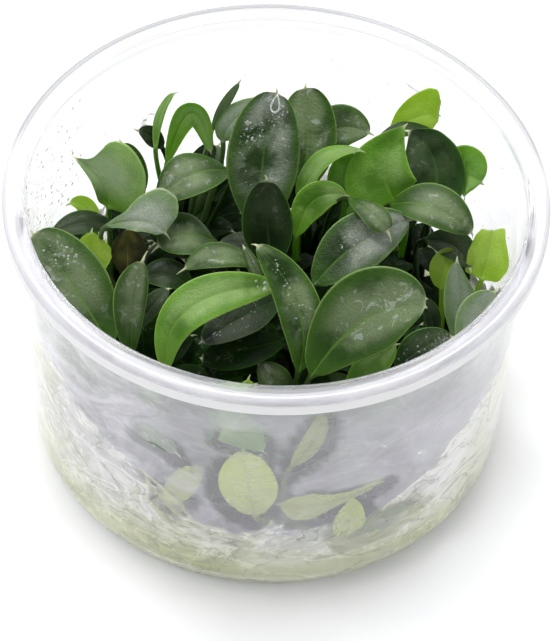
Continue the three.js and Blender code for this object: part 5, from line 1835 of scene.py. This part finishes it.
random_drop = np.random.default_rng(9)
wall_water = []
for turn_from, turn_to, low, high, count, sizes in WALL_DROPS:
    for _ in range(count):
        turn = math.radians(random_drop.uniform(turn_from, turn_to))
        radius = drop_radius(sizes)
        place = on_wall(turn, random_drop.uniform(low, high), SUNK)
        inward = np.array([-math.cos(turn), -math.sin(turn), 0.0])
        wall_water.append(dome(place, inward, radius, radius * DROP_HEIGHT))
for plan in WALL_RUNS:
    line = curved(plan, RUN_STEPS)
    line[:, 0] += random_drop.uniform(-RUN_JITTER, RUN_JITTER, len(line))
    turn = -np.arccos(line[:, 0] / (inner_radius(line[:, 1]) - RUN_GAP))
    radius = RUN_RADIUS + RUN_SWELL * np.sin(np.linspace(0, 9, len(line)) + plan[0][0])
    wall_water.append(tube(on_wall(turn, line[:, 1], RUN_GAP), radius, ROOT_SIDES))
drops = add_object("wall_drops", joined("wall_drops", wall_water), [water_material("water", 0.05)])
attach(drops, "root")
print("wall drops and runs:", len(wall_water))

# %% Beads on the leaves
WET_SPOTS = [
    ("leaf_centre_tall", (0.55, 0.7), (-0.7, -0.1), 70, (0.08, 0.3)),
    ("leaf_centre_tall", (0.7, 0.88), (-0.15, 0.5), 60, (0.06, 0.24)),
    ("leaf_centre_tall", (0.25, 0.9), (-0.7, 0.7), 90, (0.05, 0.2)),
    ("leaf_left_big", (0.6, 0.78), (-0.2, 0.6), 50, (0.08, 0.28)),
    ("leaf_front_slender", (0.4, 0.8), (-0.4, 0.4), 50, (0.06, 0.24)),
    ("leaf_front_arched", (0.84, 0.95), (-0.5, 0.4), 7, (0.25, 0.55)),
    ("leaf_middle_shiny", (0.4, 0.75), (-0.5, 0.5), 60, (0.06, 0.24)),
    ("leaf_front_broad", (0.3, 0.9), (-0.7, 0.7), 40, (0.05, 0.18)),
    ("leaf_back_broad", (0.2, 0.8), (-0.6, 0.6), 24, (0.05, 0.16)),
    ("leaf_right_grey", (0.2, 0.9), (-0.7, 0.7), 24, (0.05, 0.16)),
    ("leaf_front_speckled", (0.2, 0.9), (-0.8, 0.8), 90, (0.08, 0.24)),
    ("leaf_front_dusky", (0.3, 0.8), (-0.6, 0.6), 40, (0.06, 0.2)),
]
LOOP_HALF_WIDTH = 1.1
LOOP_LENGTH = 3.4
LOOP_PLACE = ("leaf_centre_tall", 0.86, 0.12)
LOOP_STEPS = 28
LOOP_THICKNESS = 0.2
LOOP_LIFT = 0.25


def on_blade(name, s, v):
    """A point on the upper side of a grown leaf, its normal and the way to the tip."""
    grid, facing = BLADES[name]
    row, column = s * (len(grid) - 1), np.interp(v, TOP_POINTS, range(len(TOP_POINTS)))
    i, j = min(int(row), len(grid) - 2), min(int(column), len(TOP_POINTS) - 2)
    down, right = row - i, column - j
    first = grid[i, j] * (1 - right) + grid[i, j + 1] * right
    second = grid[i + 1, j] * (1 - right) + grid[i + 1, j + 1] * right
    normal = unit(np.cross(second - first, grid[i, j + 1] - grid[i, j]))
    normal = normal if normal.dot(facing) > 0 else -normal
    return first * (1 - down) + second * down, normal, unit(second - first)


leaf_water = []
for name, along_range, across_range, count, sizes in WET_SPOTS:
    for _ in range(count):
        spot = random_drop.uniform(*along_range), random_drop.uniform(*across_range)
        place, normal, _ = on_blade(name, *spot)
        radius = drop_radius(sizes)
        leaf_water.append(dome(place - normal * SUNK, normal, radius, radius * BEAD_HEIGHT))
# The loop is a painted highlight: a ring of bead water that stands for the bright edge of a drop at the
# tip of the tall centre leaf.
place, normal, onward = on_blade(*LOOP_PLACE)
t = np.linspace(0, math.tau, LOOP_STEPS, endpoint=False)
aside = LOOP_HALF_WIDTH * np.sin(t) * np.sin(t / 2) ** 1.2
path = (place + normal * LOOP_LIFT + np.outer(LOOP_LENGTH / 2 * np.cos(t), onward)
        + np.outer(aside, np.cross(normal, onward)))
leaf_water.append(tube(path, np.full(len(t), LOOP_THICKNESS), ROOT_SIDES, closed=True))
beads = add_object(
    "leaf_drops", joined("leaf_drops", leaf_water), [water_material("water beads", 0.35)])
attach(beads, "root")
print("beads on the leaves:", len(leaf_water))

# %% [markdown]
# The jelly is nutrient agar, pale yellow green and half clear, with a low edge where it creeps up the
# wall. It is a turned disc here too. It closes round the stems, so it has no pits. Away from the wall
# its top is dark: partly a litter of roots and dead tissue, partly painted shade, because hardly any
# light gets down to it there.

# %% Jelly
JELLY_SIDES = 160
MENISCUS = 0.7
LITTER_AND_SHADE_EDGE = 43
LITTER_AND_SHADE_DARK, LITTER_AND_SHADE_LIGHT = (0.004, 0.01, 0.002), (0.02, 0.026, 0.008)
AGAR_DEEP, AGAR_PALE = (0.48, 0.57, 0.13), (0.68, 0.72, 0.36)
AGAR_CLEAR, AGAR_MILKY = 0.4, 0.6


def jelly_material():
    """Half-clear agar: a tinted milky body, with litter and painted shade on its top."""
    material, tree, shader, _ = new_material("jelly")
    noise = noise_of(tree, 90.0, 4.0)
    place, parts = place_parts(tree)
    # Where the top is dark litter and painted shade: high on the disc and away from the wall.
    litter_and_shade_mask = math_node(
        tree, "MULTIPLY",
        ramp_value(tree, parts["Z"], (JELLY_TOP - 0.9) * MM, (JELLY_TOP - 0.3) * MM),
        ramp_value(tree, from_axis(tree, place), LITTER_AND_SHADE_EDGE * MM, (LITTER_AND_SHADE_EDGE - 3) * MM))
    litter_and_shade = mix_color(tree, ramp_value(tree, noise, *SHARP_MOTTLE), LITTER_AND_SHADE_DARK, LITTER_AND_SHADE_LIGHT)
    alpha = ramp_value(tree, noise, *MOTTLE, AGAR_CLEAR, AGAR_MILKY)
    set_inputs(tree, shader, {
        "Base Color": mix_color(
            tree, litter_and_shade_mask, mottled(tree, noise, AGAR_DEEP, AGAR_PALE, *MOTTLE), litter_and_shade),
        "Specular IOR Level": 0.25,
        "Roughness": ramp_value(tree, litter_and_shade_mask, 0.0, 1.0, 0.15, 0.9),
        "Alpha": math_node(tree, "MAXIMUM", alpha, litter_and_shade_mask),
        "Normal": bumped(tree, noise, 0.3, 0.0006),
    })
    return material


side = inner_radius(JELLY_TOP) - GAP
jelly_profile = [
    (0, FLOOR + GAP),
    (foot_radius * 0.6, FLOOR + GAP),
    *arc(foot_radius - GAP, FLOOR + inner_fillet, inner_fillet - GAP, -90, 0, 6),
    (side, JELLY_TOP + MENISCUS),
    (side - 0.5, JELLY_TOP + 0.25 * MENISCUS),
    (side - 1.2, JELLY_TOP),
    (side * 0.6, JELLY_TOP - 0.1),
    (0, JELLY_TOP),
]
jelly = add_object(
    "jelly_disc", turned_mesh("jelly_disc", jelly_profile, JELLY_SIDES), [jelly_material()])
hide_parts("jelly")
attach(jelly, "root")
print("jelly faces:", len(jelly.data.polygons))
